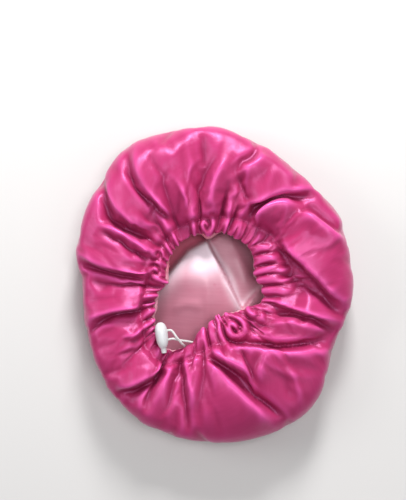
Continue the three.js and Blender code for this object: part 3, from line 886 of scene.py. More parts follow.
# %% Lay the heights on
ruffle = ruffle_at(satin_share, plain_gathers) * is_front
pressed = PRESSED_OVER * skew * gather_rise * is_front
leaning = is_front * off_edge * rise(satin_share, *LEAN_RISE)
satin_shape = satin_base + satin_ways * satin_height[..., None]
satin_shape[..., :2] += inward * ruffle[..., None]
satin_shape[..., :2] += sideways * pressed[..., None]
satin_shape[..., :2] += fold_lean * leaning[..., None]
satin_shape[..., 2] = np.maximum(satin_shape[..., 2], 0.0)
print("satin stands", round(float(satin_shape[..., 2].max()), 1), "mm high")

# %% [markdown]
# Drawn folds alone look like waves of plastic. Cloth has slack: its folds sharpen where two puffs
# press together, and fine creases run into them. Blender's cloth gives that. The front may grow by
# a few percent while the rim and the crown are held, with a little air inside. The simulation
# works at ten times the real size, where its solver is steadier.

# %% Cloth to settle
CLOTH_SCALE = 0.01
CLOTH_FRAMES = 24
CLOTH_SLACK = 0.06
CLOTH_SETTINGS = {
    "vertex_group_mass": "held",
    "vertex_group_shrink": "firm",
    "shrink_min": -CLOTH_SLACK,
    "shrink_max": 0.0,
    "quality": 6,
    "mass": 0.02,
    "air_damping": 1.0,
    "tension_stiffness": 60,
    "compression_stiffness": 60,
    "shear_stiffness": 5,
    "bending_stiffness": 0.05,
    "tension_damping": 2,
    "compression_damping": 2,
    "shear_damping": 2,
    "bending_damping": 0.2,
    "use_pressure": True,
    "uniform_pressure_force": 0.15,
}


def polar_faces(rows, columns, start=0, outside=True):
    """Faces of a grid of rings, with a fan of triangles round the pole."""
    index = start + np.arange(rows * columns).reshape(rows, columns)
    upper, lower = index[:-1], index[1:]
    quads = np.stack([upper, lower, np.roll(lower, -1, 1), np.roll(upper, -1, 1)], -1).reshape(-1, 4)
    pole = start + rows * columns
    fan = np.stack([index[-1], np.full(columns, pole), np.roll(index[-1], -1)], -1)
    faces = quads.tolist() + fan.tolist()
    return faces if outside else [face[::-1] for face in faces]


def by_row(piece, name, weights, columns):
    """A vertex group that gives each ring of a polar grid one weight, and the pole 1."""
    group = piece.vertex_groups.new(name=name)
    for k, weight in enumerate(weights):
        group.add(range(k * columns, (k + 1) * columns), float(weight), "REPLACE")
    group.add([len(weights) * columns], 1.0, "REPLACE")


def evaluated_mesh(piece):
    """A plain mesh of a piece with its modifiers worked in."""
    graph = bpy.context.evaluated_depsgraph_get()
    return bpy.data.meshes.new_from_object(piece.evaluated_get(graph))


def points_of(mesh):
    """The points of a mesh, one row each."""
    points = np.empty(len(mesh.vertices) * 3, np.float32)
    mesh.vertices.foreach_get("co", points)
    return points.reshape(-1, 3)


def settle(shape, held, firm):
    """The grid after a short cloth simulation, and nothing left behind in the scene."""
    rows, columns = shape.shape[:2]
    points = np.concatenate([shape.reshape(-1, 3), [(0, 0, 0)]]) * CLOTH_SCALE
    piece = add_mesh("settling", points, polar_faces(rows, columns))
    by_row(piece, "held", held, columns)
    by_row(piece, "firm", firm, columns)
    cloth = piece.modifiers.new("settling", "CLOTH")
    cloth.point_cache.frame_end = CLOTH_FRAMES
    cloth.collision_settings.use_collision = False
    cloth.settings.effector_weights.gravity = 0
    for name, value in CLOTH_SETTINGS.items():
        setattr(cloth.settings, name, value)
    for number in range(1, CLOTH_FRAMES + 1):
        bpy.context.scene.frame_set(number)
    settled = evaluated_mesh(piece)
    after = points_of(settled)
    bpy.data.objects.remove(piece)
    bpy.data.meshes.remove(settled)
    bpy.context.scene.frame_set(1)
    return after[:-1].reshape(rows, columns, 3).astype(float) / CLOTH_SCALE


print("cloth may grow by", CLOTH_SLACK, "in", CLOTH_FRAMES, "frames")

# %% [markdown]
# How far a point may move is capped, and where it would sink into the lining it is lifted again.
# The puff is then blurred a little from point to point, because the solver leaves a fine ripple that
# glossy satin would show.

# %% Let the satin settle
MOST_MOVE = 7.0
HELD_ROWS = [
    # station, weight
    (0, 1), (2.6, 1), (3.2, 0.6), (4.2, 0), (9, 0),
    (10.5, 0.1), (11.5, 0.25), (12.5, 0.5), (13.5, 1), (17, 1),
]
FIRM_ROWS = [(0, 1), (3, 0.9), (4.5, 0.4), (6, 0), (8, 0), (10, 0.5), (11.5, 0.8), (12.5, 1), (17, 1)]
BLUR_ROWS = [(0, 0), (6, 0), (8, 0.8), (11, 0.8), (17, 0)]


def blurred(values):
    """Each value mixed with its neighbours round the ring, and then with those along its column."""
    soft = (np.roll(values, 1, 1) + 2 * values + np.roll(values, -1, 1)) / 4
    soft[1:-1] = (soft[:-2] + 2 * soft[1:-1] + soft[2:]) / 4
    return soft


satin_settled = satin_shape.copy()
satin_held = along_rows(satin_rows, HELD_ROWS)
satin_firm = along_rows(satin_rows, FIRM_ROWS)
moved = settle(satin_shape, satin_held, satin_firm) - satin_shape
distance = np.linalg.norm(moved, axis=-1, keepdims=True)
satin_settled += moved * np.minimum(1, MOST_MOVE / np.maximum(distance, 1e-9))
print("cloth moved", round(float(distance.mean()), 2), "mm on average")
sunk = ((satin_settled - satin_base) * satin_ways).sum(-1) + limit
satin_settled -= satin_ways * np.minimum(sunk, 0)[..., None]
blur = along_rows(satin_rows, BLUR_ROWS)[:, None, None]
satin_settled += blur * (blurred(satin_settled) - satin_settled)
satin_settled[..., 2] = np.maximum(satin_settled[..., 2], 0.0)
print("settled satin stands", round(float(satin_settled[..., 2].max()), 1), "mm high")

# %% [markdown]
# The settled grid is made twice as fine by the rule of a cubic spline: old points move a little
# towards their neighbours and new points lie halfway. A Subdivision Surface modifier would do the
# same, but it is very slow where hundreds of columns meet in the pole.

# %% Finer satin
def refine(grid):
    """Doubles the columns, which close in a ring, and the rows, which do not."""
    even = (np.roll(grid, 1, 1) + 6 * grid + np.roll(grid, -1, 1)) / 8
    odd = (grid + np.roll(grid, -1, 1)) / 2
    wide = np.stack([even, odd], 2).reshape(grid.shape[0], -1, grid.shape[2])
    kept = wide.copy()
    kept[1:-1] = (wide[:-2] + 6 * wide[1:-1] + wide[2:]) / 8
    fine = np.empty((2 * len(wide) - 1, *wide.shape[1:]))
    fine[0::2] = kept
    fine[1::2] = (wide[:-1] + wide[1:]) / 2
    return fine


satin_fine = refine(satin_settled)
print("finer grid", satin_fine.shape[:2])

# %% [markdown]
# A layer of cloth is a closed wall with two skins, like the solid that it replaces. The skin that
# shows is the fine one. The other lies less than half a millimetre behind it and may be coarser, so
# it is moved back wherever a sharp fold would let it show. The map holds the place of each point on
# the flat cut disc, in metres, so the threads of the weave can run straight across the cloth as they
# do in the real one and bend with every fold.

# %% Cloth walls
CLOTH_THICKNESS = 0.4
LEAST_WALL = 0.12
TUCKS = 3


def flat_map(section, rows, columns):
    """Each grid point's place on the flat cut disc, in metres."""
    stations, lengths = lengths_of(section)
    radius = (lengths[-1] - np.interp(rows, stations, lengths)) * MM
    turns = np.arange(columns) * 2 * np.pi / columns
    return np.stack([np.outer(radius, np.cos(turns)), np.outer(radius, np.sin(turns))], -1)


def wall_of_cloth(name, outer, inner, outer_map, inner_map, outer_pole, inner_pole):
    """A closed wall between two polar grids. The outer one may have a multiple of the inner columns."""
    many, few = outer.shape[1], inner.shape[1]
    ratio = many // few
    inner_start = outer.shape[0] * many + 1
    faces = polar_faces(outer.shape[0], many)
    faces += polar_faces(inner.shape[0], few, inner_start, outside=False)
    for i in range(few):
        upper = [(i * ratio + k) % many for k in range(ratio + 1)]
        faces.append([*upper, inner_start + (i + 1) % few, inner_start + i])
    points = np.concatenate([outer.reshape(-1, 3), [outer_pole], inner.reshape(-1, 3), [inner_pole]])
    places = np.concatenate([outer_map.reshape(-1, 2), [(0, 0)], inner_map.reshape(-1, 2), [(0, 0)]])
    piece = add_mesh(name, points * MM, faces)
    corners = np.empty(len(piece.data.loops), np.int32)
    piece.data.loops.foreach_get("vertex_index", corners)
    put_map(piece, "flat_cut", places[corners])
    piece.data.shade_smooth()
    return piece


def tucked_under(outer):
    """An inner skin on every second point of the outer one, moved back wherever it would show."""
    ways = outwards(outer[::2, ::2])
    inner = outer[::2, ::2] - ways * CLOTH_THICKNESS
    for _ in range(TUCKS):
        beside_it = (inner + np.roll(inner, -1, 1)) / 2
        above = ((beside_it - outer[::2, 1::2]) * ways).sum(-1)
        above = np.maximum(above, np.roll(above, 1, 1))
        centre = (beside_it[1:] + beside_it[:-1]) / 2
        for gap in ((inner[1:] + inner[:-1]) / 2 - outer[1::2, ::2], centre - outer[1::2, 1::2]):
            above[1:] = np.maximum(above[1:], (gap * ways[1:]).sum(-1))
            above[:-1] = np.maximum(above[:-1], (gap * ways[:-1]).sum(-1))
        inner = inner - ways * np.maximum(above + LEAST_WALL, 0)[..., None]
    return inner


fine_rows = np.interp(np.arange(satin_fine.shape[0]) / 2, np.arange(len(satin_rows)), satin_rows)
satin_piece = wall_of_cloth(
    "outer_satin_cloth",
    satin_fine,
    tucked_under(satin_fine),
    flat_map(SATIN_SECTION, fine_rows, satin_fine.shape[1]),
    flat_map(SATIN_SECTION, satin_rows, COLUMNS),
    (0, 0, 0),
    (0, 0, CLOTH_THICKNESS),
)
print("satin faces", len(satin_piece.data.polygons))

# %% [markdown]
# The satin gets a painted highlight on each sharp crest and painted shade in each sharp valley. A
# node can't see how a mesh is bent, so that is measured here at every point, blurred so that no
# single face stands out, and kept as an attribute that the material reads.

# %% Crests and valleys, for painted light
FLAT_SPAN = 3.0
SHARP_CREST = 0.33
CREST_BLURS = 3


def sharpness(grid):
    """1 on a sharp crest, 0.5 where the cloth is flat and 0 in a sharp valley, at each point."""
    ways = outwards(grid)
    bend = np.zeros(grid.shape[:2])
    for k, ring in enumerate(grid):
        spacing = np.linalg.norm(ring - np.roll(ring, 1, 0), axis=-1).mean()
        step = max(1, round(FLAT_SPAN / spacing))
        beyond = np.roll(ring, step, 0) + np.roll(ring, -step, 0) - 2 * ring
        reach = np.linalg.norm(np.roll(ring, -step, 0) - np.roll(ring, step, 0), axis=-1) / 2
        bend[k] = -(beyond * ways[k]).sum(-1) / np.maximum(reach, FLAT_SPAN / 2) ** 2
    bend[2:-2] -= ((grid[4:] + grid[:-4] - 2 * grid[2:-2]) * ways[2:-2]).sum(-1) / FLAT_SPAN**2
    for _ in range(CREST_BLURS):
        bend = blurred(bend)
    return 0.5 + 0.5 * np.tanh(bend / SHARP_CREST)


def mark_skin(piece, name, values, first, plain):
    """Keeps one skin's values on a piece, and a plain value on its other points."""
    every = np.full(len(piece.data.vertices), plain, np.float32)
    every[first:first + values.size] = values.ravel()
    piece.data.attributes.new(name, "FLOAT", "POINT").data.foreach_set("value", every)


# The crest attribute is the mask for a painted highlight on crests and painted shade in valleys.
satin_painted_light_mask = sharpness(satin_fine)
mark_skin(satin_piece, "crest_painted_light", satin_painted_light_mask, 0, 0.5)
print("sharpest crest", round(float(satin_painted_light_mask.max()), 2))

# %% [markdown]
# The lining shows through the opening. Its crown is pushed up on the left, and its brink runs from
# an apex down to a notch and up again to the right, with the crown low inside that wedge. A border
# at the upper left drops to the rim, and a few soft folds cross the crown. Each height here is a
# smooth function of the place in plan, which is enough for a layer of cloth that lies this plainly.

# %% Raised crown of the lining
WEDGE_APEX = np.array([-6.6, 37.0])
WEDGE_NOTCH = np.array([22.4, -20.2])
WEDGE_RIGHT = np.array([40.0, -1.0])
BULGE_CENTRE = np.array([-8.0, -4.0])
BULGE_HEIGHT = 15.0
BULGE_REACH = 84.0
CROWN_LIFT = 5.0
CROWN_LIFT_PLACE = np.array([-14.0, 12.0])
CROWN_LIFT_REACH = 50.0
BRINK_SOFTNESS = 3.0
BRINK_LIFT = 1.5
BRINK_STEP = 0.6
RAMP_REACH = 32.0
BORDER = [(-3.0, 39.0), (-22.0, 28.5), (-40.0, 8.0), (-58.0, -20.0)]
BORDER_DEPTH = 9.0
BORDER_SOFTNESS = 6.0
LINING_FOLDS = [
    # first, middle and last place, half width, height
    ((-50.0, -10.0), (-24.0, 6.0), (8.0, 4.0), 8.0, 1.8),
    ((-5.0, 10.0), (-6.0, -12.0), (-3.0, -38.0), 3.5, 0.9),
    ((-40.0, -24.0), (-22.0, -16.0), (-8.0, -22.0), 4.0, 0.8),
    ((4.0, 18.0), (8.0, 0.0), (14.0, -18.0), 5.0, -0.8),
    ((14.0, 30.0), (22.0, 12.0), (28.0, -8.0), 6.0, 1.2),
]
SOFT_FADE = 0.3


def left_of(start, end, plan):
    """Signed distance of places from a straight line."""
    way = (end - start) / np.linalg.norm(end - start)
    offset = plan - start
    return way[0] * offset[..., 1] - way[1] * offset[..., 0]


def inside_border(plan):
    """Distance inside the upper left border of the raised crown."""
    inside = np.full(plan.shape[:-1], 1e9)
    for start, end in zip(BORDER, BORDER[1:]):
        inside = np.minimum(inside, left_of(np.array(start), np.array(end), plan))
    return inside


def past_border(plan):
    """1 between the raised crown and the rim at the upper left, and 0 elsewhere."""
    return smooth_step(0.5 - inside_border(plan) / BORDER_SOFTNESS)


def soft_folds_at(plan):
    """Height of the soft folds of the raised crown."""
    height = np.zeros(plan.shape[:-1])
    for first, middle, last, half_width, top in LINING_FOLDS:
        distance, along, _ = beside(bowed_line(first, middle, last, TUBE_PIECES), plan)
        ends = smooth_step(along / SOFT_FADE) * smooth_step((1 - along) / SOFT_FADE)
        height += top * ends * np.exp(-((distance / half_width) ** 2))
    return height


def bulge_at(plan):
    """How far the lining's crown is pushed up."""
    long_side = left_of(WEDGE_APEX, WEDGE_NOTCH, plan)
    short_side = left_of(WEDGE_NOTCH, WEDGE_RIGHT, plan)
    steps = smooth_step(0.5 + long_side / BRINK_SOFTNESS) * smooth_step(0.5 + short_side / BRINK_SOFTNESS)
    ramps = smooth_step(long_side / RAMP_REACH) * smooth_step(0.5 + short_side / RAMP_REACH)
    inside = np.maximum(BRINK_STEP * steps, ramps)
    from_top = np.linalg.norm(plan - CROWN_LIFT_PLACE, axis=-1)
    from_middle = np.linalg.norm(plan - BULGE_CENTRE, axis=-1)
    level = smooth_step(1 - from_middle / BULGE_REACH)
    dome = BULGE_HEIGHT * level + CROWN_LIFT * smooth_step(1 - from_top / CROWN_LIFT_REACH)
    brink = BRINK_LIFT * np.exp(-((long_side / BRINK_SOFTNESS) ** 2)) * level
    border = BORDER_DEPTH * past_border(plan) * level
    return np.maximum(dome * (1 - inside) + brink - border, 0)


def crown_height(plan):
    """Height of the crown over its flat place, with its soft folds."""
    return bulge_at(plan) + soft_folds_at(plan)


print("crown's middle is raised", round(float(crown_height(BULGE_CENTRE)), 1), "mm")

# %% [markdown]
# The lining gets a painted highlight along the brink, along the border and in the corner where they
# meet. The painted highlight fades away from those edges.

# %% Painted highlight along the raised crown's edges
PAINTED_HIGHLIGHT_SOFTNESS = 4
BRINK_HIGHLIGHT_WIDTH = 5.0
BRINK_HIGHLIGHT_STRENGTH = 0.8
BORDER_HIGHLIGHT_WIDTH = 11.0
BORDER_HIGHLIGHT_FADE = (1.4, 66.0)
CORNER_HIGHLIGHT_FADE = (1.35, 34.0)
PAINTED_HIGHLIGHT_POWER = 0.7


def painted_highlight_at(plan):
    """1 where the painted highlight lies, along both edges of the raised crown, and 0 elsewhere."""
    from_brink = -left_of(WEDGE_APEX, WEDGE_NOTCH, plan)
    from_border = inside_border(plan)
    from_apex = np.linalg.norm(plan - WEDGE_APEX, axis=-1)
    raised = smooth_step(0.5 + from_brink / PAINTED_HIGHLIGHT_SOFTNESS)
    raised *= smooth_step(0.5 + from_border / PAINTED_HIGHLIGHT_SOFTNESS)
    brink = BRINK_HIGHLIGHT_STRENGTH * np.exp(-((from_brink / BRINK_HIGHLIGHT_WIDTH) ** 2))
    border = np.exp(-((from_border / BORDER_HIGHLIGHT_WIDTH) ** 2))
    border *= smooth_step(BORDER_HIGHLIGHT_FADE[0] - from_apex / BORDER_HIGHLIGHT_FADE[1])
    corner = smooth_step(CORNER_HIGHLIGHT_FADE[0] - from_apex / CORNER_HIGHLIGHT_FADE[1])
    return raised * np.clip(np.maximum(np.maximum(brink, border), corner), 0, 1) ** PAINTED_HIGHLIGHT_POWER


print("palest at the apex", round(float(painted_highlight_at(WEDGE_APEX + (-2.0, -8.0))), 2))

# %% [markdown]
# Near the rim the lining follows the satin's gathers, because both layers are sewn together there,
# and in a few places its pale edge peeps out. Under the front it waves from pleat to pleat, since
# it was cut as large as the satin and has to go somewhere.

# %% Lining
PEEPS = [
    # angle, half width in degrees, reach in millimetres
    (88, 10, 4.0), (158, 16, 3.6), (196, 12, 3.0), (228, 14, 2.4), (318, 22, 2.2), (20, 25, 1.8),
]
LINING_SPACINGS = [
    # station, millimetres between rows
    (0, 0.8), (3, 1.2), (5, 2.5), (7, 5.0), (12, 6.0), (16, 4.0), (16.5, 1.8), (18, 1.8),
]
LINING_FRONT_END = 12
LINING_WAVE = 7.0
FOLLOW_ROWS = [(0, 0.9), (2.5, 0.8), (5, 0.3), (8, 0)]
FOLLOW_HEIGHT = 0.5
PEEP_ROWS = [(0, 0.2), (1, 1), (2, 1), (3, 0)]
WAVE_ROWS = [(0, 0), (4, 0.2), (7, 1), (10, 0.5), (12, 0)]
lining_rows = spread_rows(LINING_SECTION, LINING_SPACINGS)
lining_shape = skin_of(LINING_SECTION, angles, lining_rows)
lining_ways = outwards(lining_shape)
follow = along_rows(lining_rows, FOLLOW_ROWS)[:, None]
gathered = follow * SMALL_HEIGHT * small_size * pleats(small_phase) * FOLLOW_HEIGHT
lining_shape += lining_ways * gathered[..., None]
peep = sum(reach * near(middle, half_width) for middle, half_width, reach in PEEPS)
peep = peep * along_rows(lining_rows, PEEP_ROWS)[:, None]
lining_shape[..., :2] += inward * (follow * ruffle_at(0, plain_gathers[0]) + peep)[..., None]
wave = LINING_WAVE * (1 + np.cos(middle_phase)) / 2
lining_shape -= lining_ways * (along_rows(lining_rows, WAVE_ROWS)[:, None] * wave)[..., None]
on_crown = rise(lining_rows, LINING_FRONT_END, 2)[:, None]
lining_shape[..., 2] += on_crown * crown_height(lining_shape[..., :2])
lining_pole = np.array([0.0, 0.0, LINING_SECTION[-1][2] + crown_height(np.zeros(2))])
print("lining grid", len(lining_rows), "rows,", COLUMNS, "columns")

# %% [markdown]
# The lining becomes a wall like the satin, but here the inner skin is the one that shows. It gets
# two attributes: where its colour takes painted highlights and painted shade, from how sharp the
# cloth is and along the raised crown's edges, and where the border at the upper left takes a painted
# rose shade, which stands for pink light from the satin in that shaded gap.

# %% Wall of the lining
lining_behind = lining_shape + outwards(lining_shape) * CLOTH_THICKNESS
lining_map = flat_map(LINING_SECTION, lining_rows, COLUMNS)
lining_piece = wall_of_cloth(
    "lining_cloth",
    lining_behind,
    lining_shape,
    lining_map,
    lining_map,
    lining_pole - (0, 0, CLOTH_THICKNESS),
    lining_pole,
)
lining_plan = lining_shape[..., :2]
# The lining's crest values also carry the painted highlight along the raised crown's edges.
lining_painted_light_mask = np.maximum(sharpness(lining_shape), 0.5 + 0.5 * on_crown * painted_highlight_at(lining_plan))
shown_first = lining_painted_light_mask.size + 1
mark_skin(lining_piece, "crest_painted_light", lining_painted_light_mask, shown_first, 0.5)
# The rose attribute marks where a painted rose shade goes, in the shaded gap at the upper left.
mark_skin(lining_piece, "rose_painted_shade", past_border(lining_plan), shown_first, 0)
print("lining faces", len(lining_piece.data.polygons))

# %% [markdown]
# The toggle is one smooth moulded bead: an egg with a short tip, a little deeper than it is wide,
# and two holes for the cord. A profile is turned round the long axis and the holes are cut with a
# Boolean modifier, which is applied at once.

# %% Toggle
TOGGLE_LENGTH = 22.0
TOGGLE_WIDTH = 10.0
TOGGLE_DEPTH = 12.0
TIP_RADIUS = 2.3
TIP_LENGTH = 3.0
HOLE_RADIUS = 1.4
HOLE_DEPTH = 7.0
BEAD_STEPS = 48
BEAD_SIDES = 64
HOLE_SIDES = 32
DEEPER = (1, 1, TOGGLE_DEPTH / TOGGLE_WIDTH)
DRILL_OUT = 0.5
SHARP_ANGLE = 40
EGG_TAPER = 0.1
EGG_ENDS = 2.6
EGG_SIDES = 2.2
TIP_PROFILE = [(0, 0), (1.5, 0), (2.0, 0.3), (2.1, 0.8)]


def lathe(name, profile, sides):
    """A closed solid of revolution round the Y axis. The profile's ends lie on the axis."""
    turns = np.arange(sides) * 2 * np.pi / sides
    body = profile[1:-1]
    rings = [np.stack([r * np.cos(turns), np.full(sides, y), r * np.sin(turns)], -1) for r, y in body]
    points = np.concatenate([*rings, [(0, profile[-1][1], 0)], [(0, profile[0][1], 0)]])
    faces = polar_faces(len(body), sides)
    faces += [(len(points) - 1, i, (i + 1) % sides) for i in range(sides)]
    return add_mesh(name, points, faces)


def bead_radius(y):
    """Radius of the egg at a height from -1 to 1."""
    return TOGGLE_WIDTH / 2 * (1 + EGG_TAPER * y) * (1 - abs(y) ** EGG_ENDS) ** (1 / EGG_SIDES)


half = TOGGLE_LENGTH / 2
profile = [(radius, up - half - TIP_LENGTH) for radius, up in TIP_PROFILE]
for height in -np.cos(np.pi * np.arange(BEAD_STEPS) / BEAD_STEPS):
    radius = bead_radius(height)
    if height > 0 or radius >= TIP_RADIUS:
        profile.append((radius, half * height))
profile.append((0, half))
toggle_piece = lathe("toggle_bead", profile, BEAD_SIDES)
toggle_piece.scale = DEEPER
print("toggle profile", len(profile), "points")

# %% Holes of the toggle
drills = []
drill_profile = [(r, y * HOLE_DEPTH) for r, y in ((0, -1), (HOLE_RADIUS, -1), (HOLE_RADIUS, 1), (0, 1))]
for side in (-1, 1):
    drill = lathe(f"drill_{side}", drill_profile, HOLE_SIDES)
    drill.rotation_euler = (0, 0, np.pi / 2)
    drill.location = (TOGGLE_WIDTH / 2 + DRILL_OUT, side * HOLE_SPACING / 2, 0)
    cut = toggle_piece.modifiers.new("hole", "BOOLEAN")
    cut.object = drill
    cut.solver = "EXACT"
    drills.append(drill)
bpy.context.view_layer.update()
bead_mesh = evaluated_mesh(toggle_piece)
toggle_piece.modifiers.clear()
toggle_piece.data = bead_mesh
for drill in drills:
    bpy.data.objects.remove(drill)
bead_points = in_toggle(*(points_of(bead_mesh) * DEEPER).T) * MM
bead_mesh.vertices.foreach_set("co", bead_points.astype(np.float32).ravel())
bead_mesh.update()
bead_mesh.shade_smooth()
bead_mesh.set_sharp_from_angle(angle=np.radians(SHARP_ANGLE))
toggle_piece.scale = (1, 1, 1)
print("toggle faces", len(bead_mesh.polygons))

# %% [markdown]
# The stitch line holds the casing shut. Its path is read from the settled satin, at the bottom of
# the groove, so the stitches lie on the cloth wherever the folds have taken it.

# %% Path of the stitch line
STITCH_LIFT = 0.12


def place_on_satin(share_wanted):
    """Points of the finished satin at one share per column, and the ways out there."""
    shares = np.array([share for front, share, _ in SATIN_SECTION[RIM_STATION:EDGE_STATION + 1]])
    stations = RIM_STATION + np.interp(share_wanted, shares, np.arange(len(shares)))
    rows = np.interp(stations, fine_rows, np.arange(len(fine_rows)))
    low = np.floor(rows).astype(int)
    part = (rows - low)[:, None]
    column = np.arange(satin_fine.shape[1])
    ways = outwards(satin_fine)
    points = satin_fine[low, column] * (1 - part) + satin_fine[low + 1, column] * part
    return points, ways[low, column]


fine_angles = np.arange(satin_fine.shape[1]) * 360.0 / satin_fine.shape[1]
fine_reach = np.linalg.norm(on_outline(fine_angles) - on_opening(fine_angles), axis=-1)
stitch_share = GROOVE_PLACE * through(BAND, fine_angles / STEP) / fine_reach
stitch_points, stitch_ways = place_on_satin(stitch_share)
stitch_points = stitch_points + stitch_ways * STITCH_LIFT
stitch_curve = bpy.data.curves.new("stitch_path", "CURVE")
stitch_curve.dimensions = "3D"
stitch_line = stitch_curve.splines.new("POLY")
stitch_line.points.add(len(stitch_points) - 1)
stitch_places = np.column_stack([stitch_points * MM, np.ones(len(stitch_points))])
stitch_line.points.foreach_set("co", stitch_places.ravel())
stitch_line.use_cyclic_u = True
stitch_path = add_object("stitch_path", stitch_curve)
print("stitch line", round(length_of(stitch_points)), "mm long")

# %% [markdown]
# Materials. Each one is a Principled shader whose colour, roughness and bump are worked out by other
# nodes. A few helpers keep the trees short: one makes a node and fills its inputs, with plain
# values or with links, and the others make the small groups of nodes that come back everywhere.

# %% Node helpers
def feed(tree, value, socket):
    """Links another node's output to an input, or sets the input to a plain value."""
    if isinstance(value, bpy.types.NodeSocket):
        tree.links.new(value, socket)
    else:
        socket.default_value = value


def add_node(tree, kind, inputs=(), **settings):
    """A node with its settings, and with its inputs fed by name."""
    node = tree.nodes.new(kind)
    for name, value in settings.items():
        setattr(node, name, value)
    for name, value in dict(inputs).items():
        feed(tree, value, node.inputs[name])
    return node


def math_node(tree, operation, *values):
    """The output of a math node on other outputs or plain numbers."""
    node = add_node(tree, "ShaderNodeMath", operation=operation)
    for socket, value in zip(node.inputs, values):
        feed(tree, value, socket)
    return node.outputs[0]


def mixed(tree, factor, low, high):
    """A colour between two colours, each a plain colour or another node's output."""
    node = add_node(tree, "ShaderNodeMix", {"Factor": factor}, data_type="RGBA")
    for name, colour in (("A", low), ("B", high)):
        socket = next(socket for socket in node.inputs if socket.name == name and socket.type == "RGBA")
        feed(tree, (*colour, 1) if isinstance(colour, tuple) else colour, socket)
    return next(socket for socket in node.outputs if socket.type == "RGBA")


def stretched_noise(tree, vector, scale, detail=2.0):
    """Noise on a vector that is scaled along each axis."""
    mapping = add_node(tree, "ShaderNodeMapping", {"Vector": vector, "Scale": scale})
    noise_inputs = {"Vector": mapping.outputs["Vector"], "Scale": 1.0, "Detail": detail}
    return add_node(tree, "ShaderNodeTexNoise", noise_inputs).outputs["Fac"]


print("helpers for nodes: feed, add_node, math_node, mixed and stretched_noise")

# %% [markdown]
# Roughness and relief come back in several materials too, and so does the start of each one.

# %% Material helpers
def new_material(name, **inputs):
    """A material with a Principled shader, and the shader's own values."""
    material = bpy.data.materials.new(name)
    material.use_nodes = True
    tree = material.node_tree
    shader = tree.nodes["Principled BSDF"]
    for label, value in inputs.items():
        shader.inputs[label.replace("_", " ")].default_value = value
    return material, tree, shader


def rough_between(tree, shader, value, low, high):
    """Roughness that follows a value from 0 to 1 between two limits."""
    spread = add_node(tree, "ShaderNodeMapRange", {"Value": value, "To Min": low, "To Max": high})
    feed(tree, spread.outputs["Result"], shader.inputs["Roughness"])


def raised_by(tree, shader, height, depth, strength=1.0):
    """Fine relief that follows a height from 0 to 1, as deep as the given metres."""
    relief = add_node(tree, "ShaderNodeBump", {"Height": height, "Distance": depth, "Strength": strength})
    feed(tree, relief.outputs["Normal"], shader.inputs["Normal"])


def own_place(tree):
    """Each point's place on its own piece."""
    return add_node(tree, "ShaderNodeTexCoord").outputs["Object"]


print("helpers for materials: new_material, rough_between, raised_by and own_place")

# %% [markdown]
# Satin is woven so that long threads float on top, side by side. They reflect like a brushed
# surface, with a tinted gloss, and small differences between threads show as fine streaks. Both
# cloths share that effect, so it is a node group with its own sockets. It reads the flat map and
# gives a height, a tone and a gloss that vary over the cloth. The shader stays in the material.

# %% Satin weave group
# Grains in each metre: along the threads, across them and through the cloth.
THREAD_GRAIN = (160, 3200, 1)
SLUB_GRAIN = (30, 480, 1)
CRINKLE_GRAIN = (260, 260, 1)
CLOUD_GRAIN = (28, 28, 28)
weave = bpy.data.node_groups.new("satin_weave", "ShaderNodeTree")
weave.interface.new_socket("Flat Place", in_out="INPUT", socket_type="NodeSocketVector")
weave.interface.new_socket("Body Place", in_out="INPUT", socket_type="NodeSocketVector")
for socket_name in ("Height", "Tone", "Gloss"):
    weave.interface.new_socket(socket_name, in_out="OUTPUT", socket_type="NodeSocketFloat")
weave_in = add_node(weave, "NodeGroupInput").outputs
threads = stretched_noise(weave, weave_in["Flat Place"], THREAD_GRAIN, 1.0)
slubs = stretched_noise(weave, weave_in["Flat Place"], SLUB_GRAIN, 2.0)
crinkles = stretched_noise(weave, weave_in["Flat Place"], CRINKLE_GRAIN, 4.0)
clouds = stretched_noise(weave, weave_in["Body Place"], CLOUD_GRAIN, 3.0)


def weighted_sum(tree, *parts):
    """The sum of outputs, each with its weight."""
    weighted = [math_node(tree, "MULTIPLY", output, weight) for output, weight in parts]
    total = weighted[0]
    for part in weighted[1:]:
        total = math_node(tree, "ADD", total, part)
    return total


add_node(weave, "NodeGroupOutput", {
    "Height": weighted_sum(weave, (threads, 0.45), (slubs, 0.35), (crinkles, 0.2)),
    "Tone": weighted_sum(weave, (slubs, 0.5), (clouds, 0.5)),
    "Gloss": weighted_sum(weave, (threads, 0.5), (clouds, 0.5)),
})
print("weave group", len(weave.nodes), "nodes")

# %% [markdown]
# Each cloth has four colours: two for the tone of its threads, a painted shade for its valleys and a
# painted highlight for its crests, which the crest attribute calls up. The lining has a fifth, a
# painted rose shade at its border. Sheen, tinted gloss and the lean of the highlights are the shader's
# own values.

# %% Both cloth materials
RELIEF_DEPTH = 0.0003
PAINTED_HIGHLIGHT_FOCUS = 1.8


def attribute_of(tree, name):
    """A value that the piece keeps at each of its points."""
    return add_node(tree, "ShaderNodeAttribute", attribute_name=name).outputs["Fac"]


